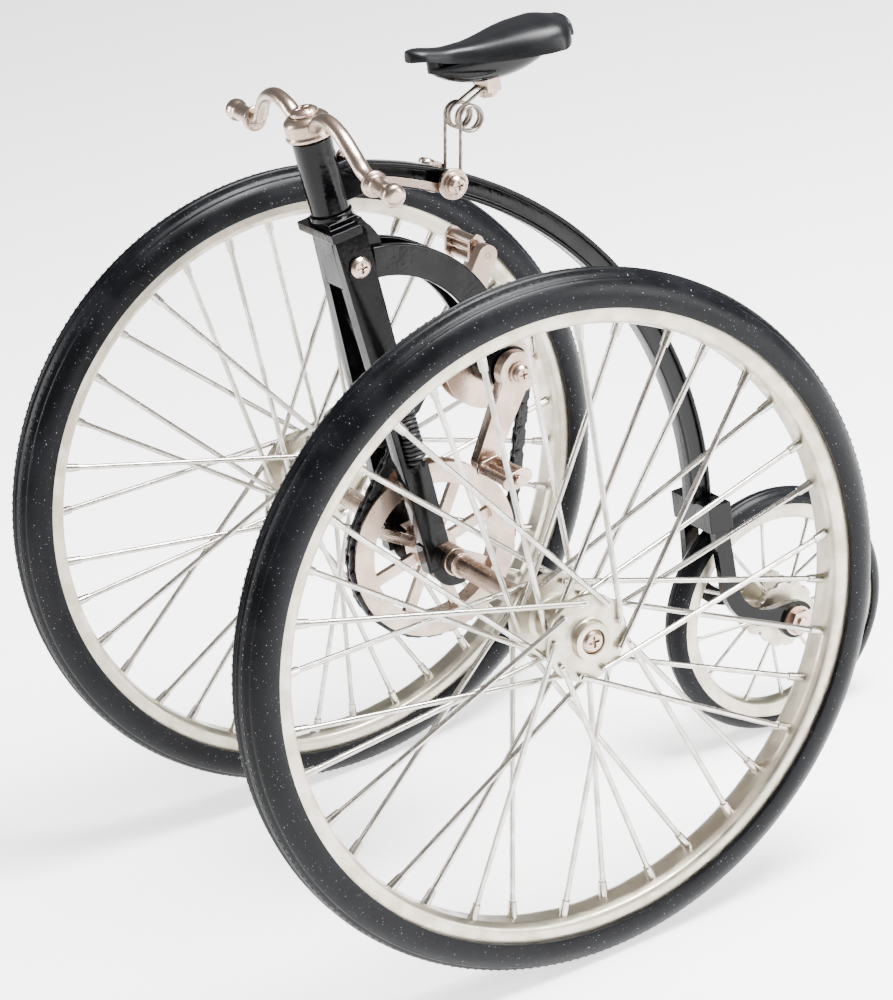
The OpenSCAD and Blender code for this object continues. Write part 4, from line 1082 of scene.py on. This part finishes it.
posts = [turned(POST, (0, y, pan_top - 1), (0, 0, 1), 24, ring=False)
         for y in (pan_low.y + 1.6, pan_high.y - 3.0)]
make("saddle-pan", "saddle_frame", [lofted([pan_ring(t) for t in stations])] + posts, 40)

# %% [markdown]
# Every part that is left has the right shape already and only looks too sharp. Its mesh could be
# used as it is, but the machine's edges were filed and polished. So the mesh is copied, merged
# into clean flat faces and given a small bevel; castings and bent bars get a larger one.

# %% Softened parts
PLAIN_RADIUS = 0.2
RADIUS = {"crank_left": 0.6, "crank_right": 0.6, "fork_crown": 0.4, "fork_left": 0.5,
          "fork_right": 0.5, "bracket_left": 0.4, "bracket_right": 0.4, "crank_axle": 0.1,
          "axle_sprocket": 0.12, "crank_sprocket": 0.12, "backbone_lug": 0.4, "rear_crown": 0.5,
          "rear_fork_left": 0.45, "rear_fork_right": 0.45, "pedal_frame_left": 0.3,
          "pedal_frame_right": 0.3}


def soften(name, radius):
    """Makes a copy of a part's own shape with its edges rounded."""
    mesh = frame["nodes"][name].data.copy()
    work = bmesh.new()
    work.from_mesh(mesh)
    bmesh.ops.remove_doubles(work, verts=work.verts, dist=2e-6)
    bmesh.ops.dissolve_limit(work, angle_limit=math.radians(1.5), verts=work.verts,
                             edges=work.edges)
    work.to_mesh(mesh)
    work.free()
    mesh.name = name
    mesh.shade_smooth()
    mesh.set_sharp_from_angle(angle=math.radians(32))
    piece = place_mesh(name.replace("_", "-"), mesh)
    bevel = piece.modifiers.new("rounded edges", "BEVEL")
    bevel.width = radius * MM
    bevel.segments = 2
    bevel.limit_method = "ANGLE"
    bevel.angle_limit = math.radians(38)
    bevel.harden_normals = True
    register(piece, name)


plain = [name for name in SLOT_OF if name not in REPLACED]
for name in plain:
    soften(name, RADIUS.get(name, PLAIN_RADIUS))
print(len(plain), "parts softened")

# %% [markdown]
# The machine stands on white paper under three soft boxes: a broad one above and two tall narrow
# ones, which draw long highlights on the black tubes. A white backdrop behind the machine would
# need a curved sweep; the floor is only made very large, and glows a little, so that it stays pale
# and the shadows stay light.

# %% Stage and light
FLOOR_HALF = 3000.0
corners = [(x * FLOOR_HALF * MM, y * FLOOR_HALF * MM, 0)
           for x, y in ((-1, -1), (1, -1), (1, 1), (-1, 1))]
floor_mesh = bpy.data.meshes.new("floor")
floor_mesh.from_pydata(corners, [], [(0, 1, 2, 3)])
floor = place_mesh("floor", floor_mesh)
floor.data.materials.append(finish("white paper", lambda tree: {}, {
    "Base Color": "#FFFFFF", "Roughness": 0.9, "Specular IOR Level": 0.1,
    "Emission Color": "#FFFFFF", "Emission Strength": 1.5}))

world = bpy.data.worlds.new("studio")
world.use_nodes = True
sky = world.node_tree.nodes["Background"]
sky.inputs["Color"].default_value = linear("#FFFFFF")
sky.inputs["Strength"].default_value = 0.3
bpy.context.scene.world = world


def lamp(name, place, aim, size, watts):
    data = bpy.data.lights.new(name, "AREA")
    data.shape = "RECTANGLE"
    data.size, data.size_y = size[0] * MM, size[1] * MM
    data.energy = watts
    holder = bpy.data.objects.new(name, data)
    bpy.context.scene.collection.objects.link(holder)
    holder.location = Vector(place) * MM
    holder.rotation_euler = (Vector(aim) - Vector(place)).to_track_quat("-Z", "Y").to_euler()
    print(f"{name}: {watts} W, {size[0]} by {size[1]} mm")


lamp("top soft box", (200, 250, 900), (0, 0, 60), (380, 380), 42)
lamp("left soft box", (520, 420, 300), (0, 0, 80), (110, 420), 5)
lamp("right soft box", (-300, -560, 300), (0, 0, 90), (120, 420), 4)

# %% [markdown]
# The camera looks from the front left and above, with the gentle perspective of a long lens, and
# is rolled a few degrees. Aiming it with a Track To constraint would undo the roll, so its three
# axes are worked out and written straight into its matrix. It stands back along its own view
# from the front axle's place on the ground, then a little to the side and up.

# %% Camera
AZIMUTH, ELEVATION, ROLL = 64.019, 22.062, -8.740
DISTANCE, TO_RIGHT, UPWARDS = 753.98, -6.34, 85.65


def view_basis(azimuth, elevation, roll):
    """The camera's right, up and back directions."""
    a, e, r = (math.radians(v) for v in (azimuth, elevation, roll))
    back = Vector((math.sin(a) * math.cos(e), -math.cos(a) * math.cos(e), math.sin(e)))
    right = (-back).cross(Vector((0, 0, 1))).normalized()
    up = right.cross(-back)
    return (math.cos(r) * right + math.sin(r) * up, -math.sin(r) * right + math.cos(r) * up, back)


right, up, back = view_basis(AZIMUTH, ELEVATION, ROLL)
place = (Vector((0, front_axle.y, 0)) + back * DISTANCE + right * TO_RIGHT + up * UPWARDS) * MM
camera_data = bpy.data.cameras.new("camera")
camera_data.sensor_fit = "HORIZONTAL"
camera_data.sensor_width = 36.0
camera_data.lens = 124.36
camera_data.shift_x = -0.0064
camera_data.shift_y = -0.0070
camera = bpy.data.objects.new("camera", camera_data)
bpy.context.scene.collection.objects.link(camera)
camera.matrix_world = Matrix((
    (right.x, up.x, back.x, place.x), (right.y, up.y, back.y, place.y),
    (right.z, up.z, back.z, place.z), (0, 0, 0, 1)))
bpy.context.scene.camera = camera
print(f"camera {DISTANCE / 1000:.2f} m away with a {camera_data.lens:.0f} mm lens")
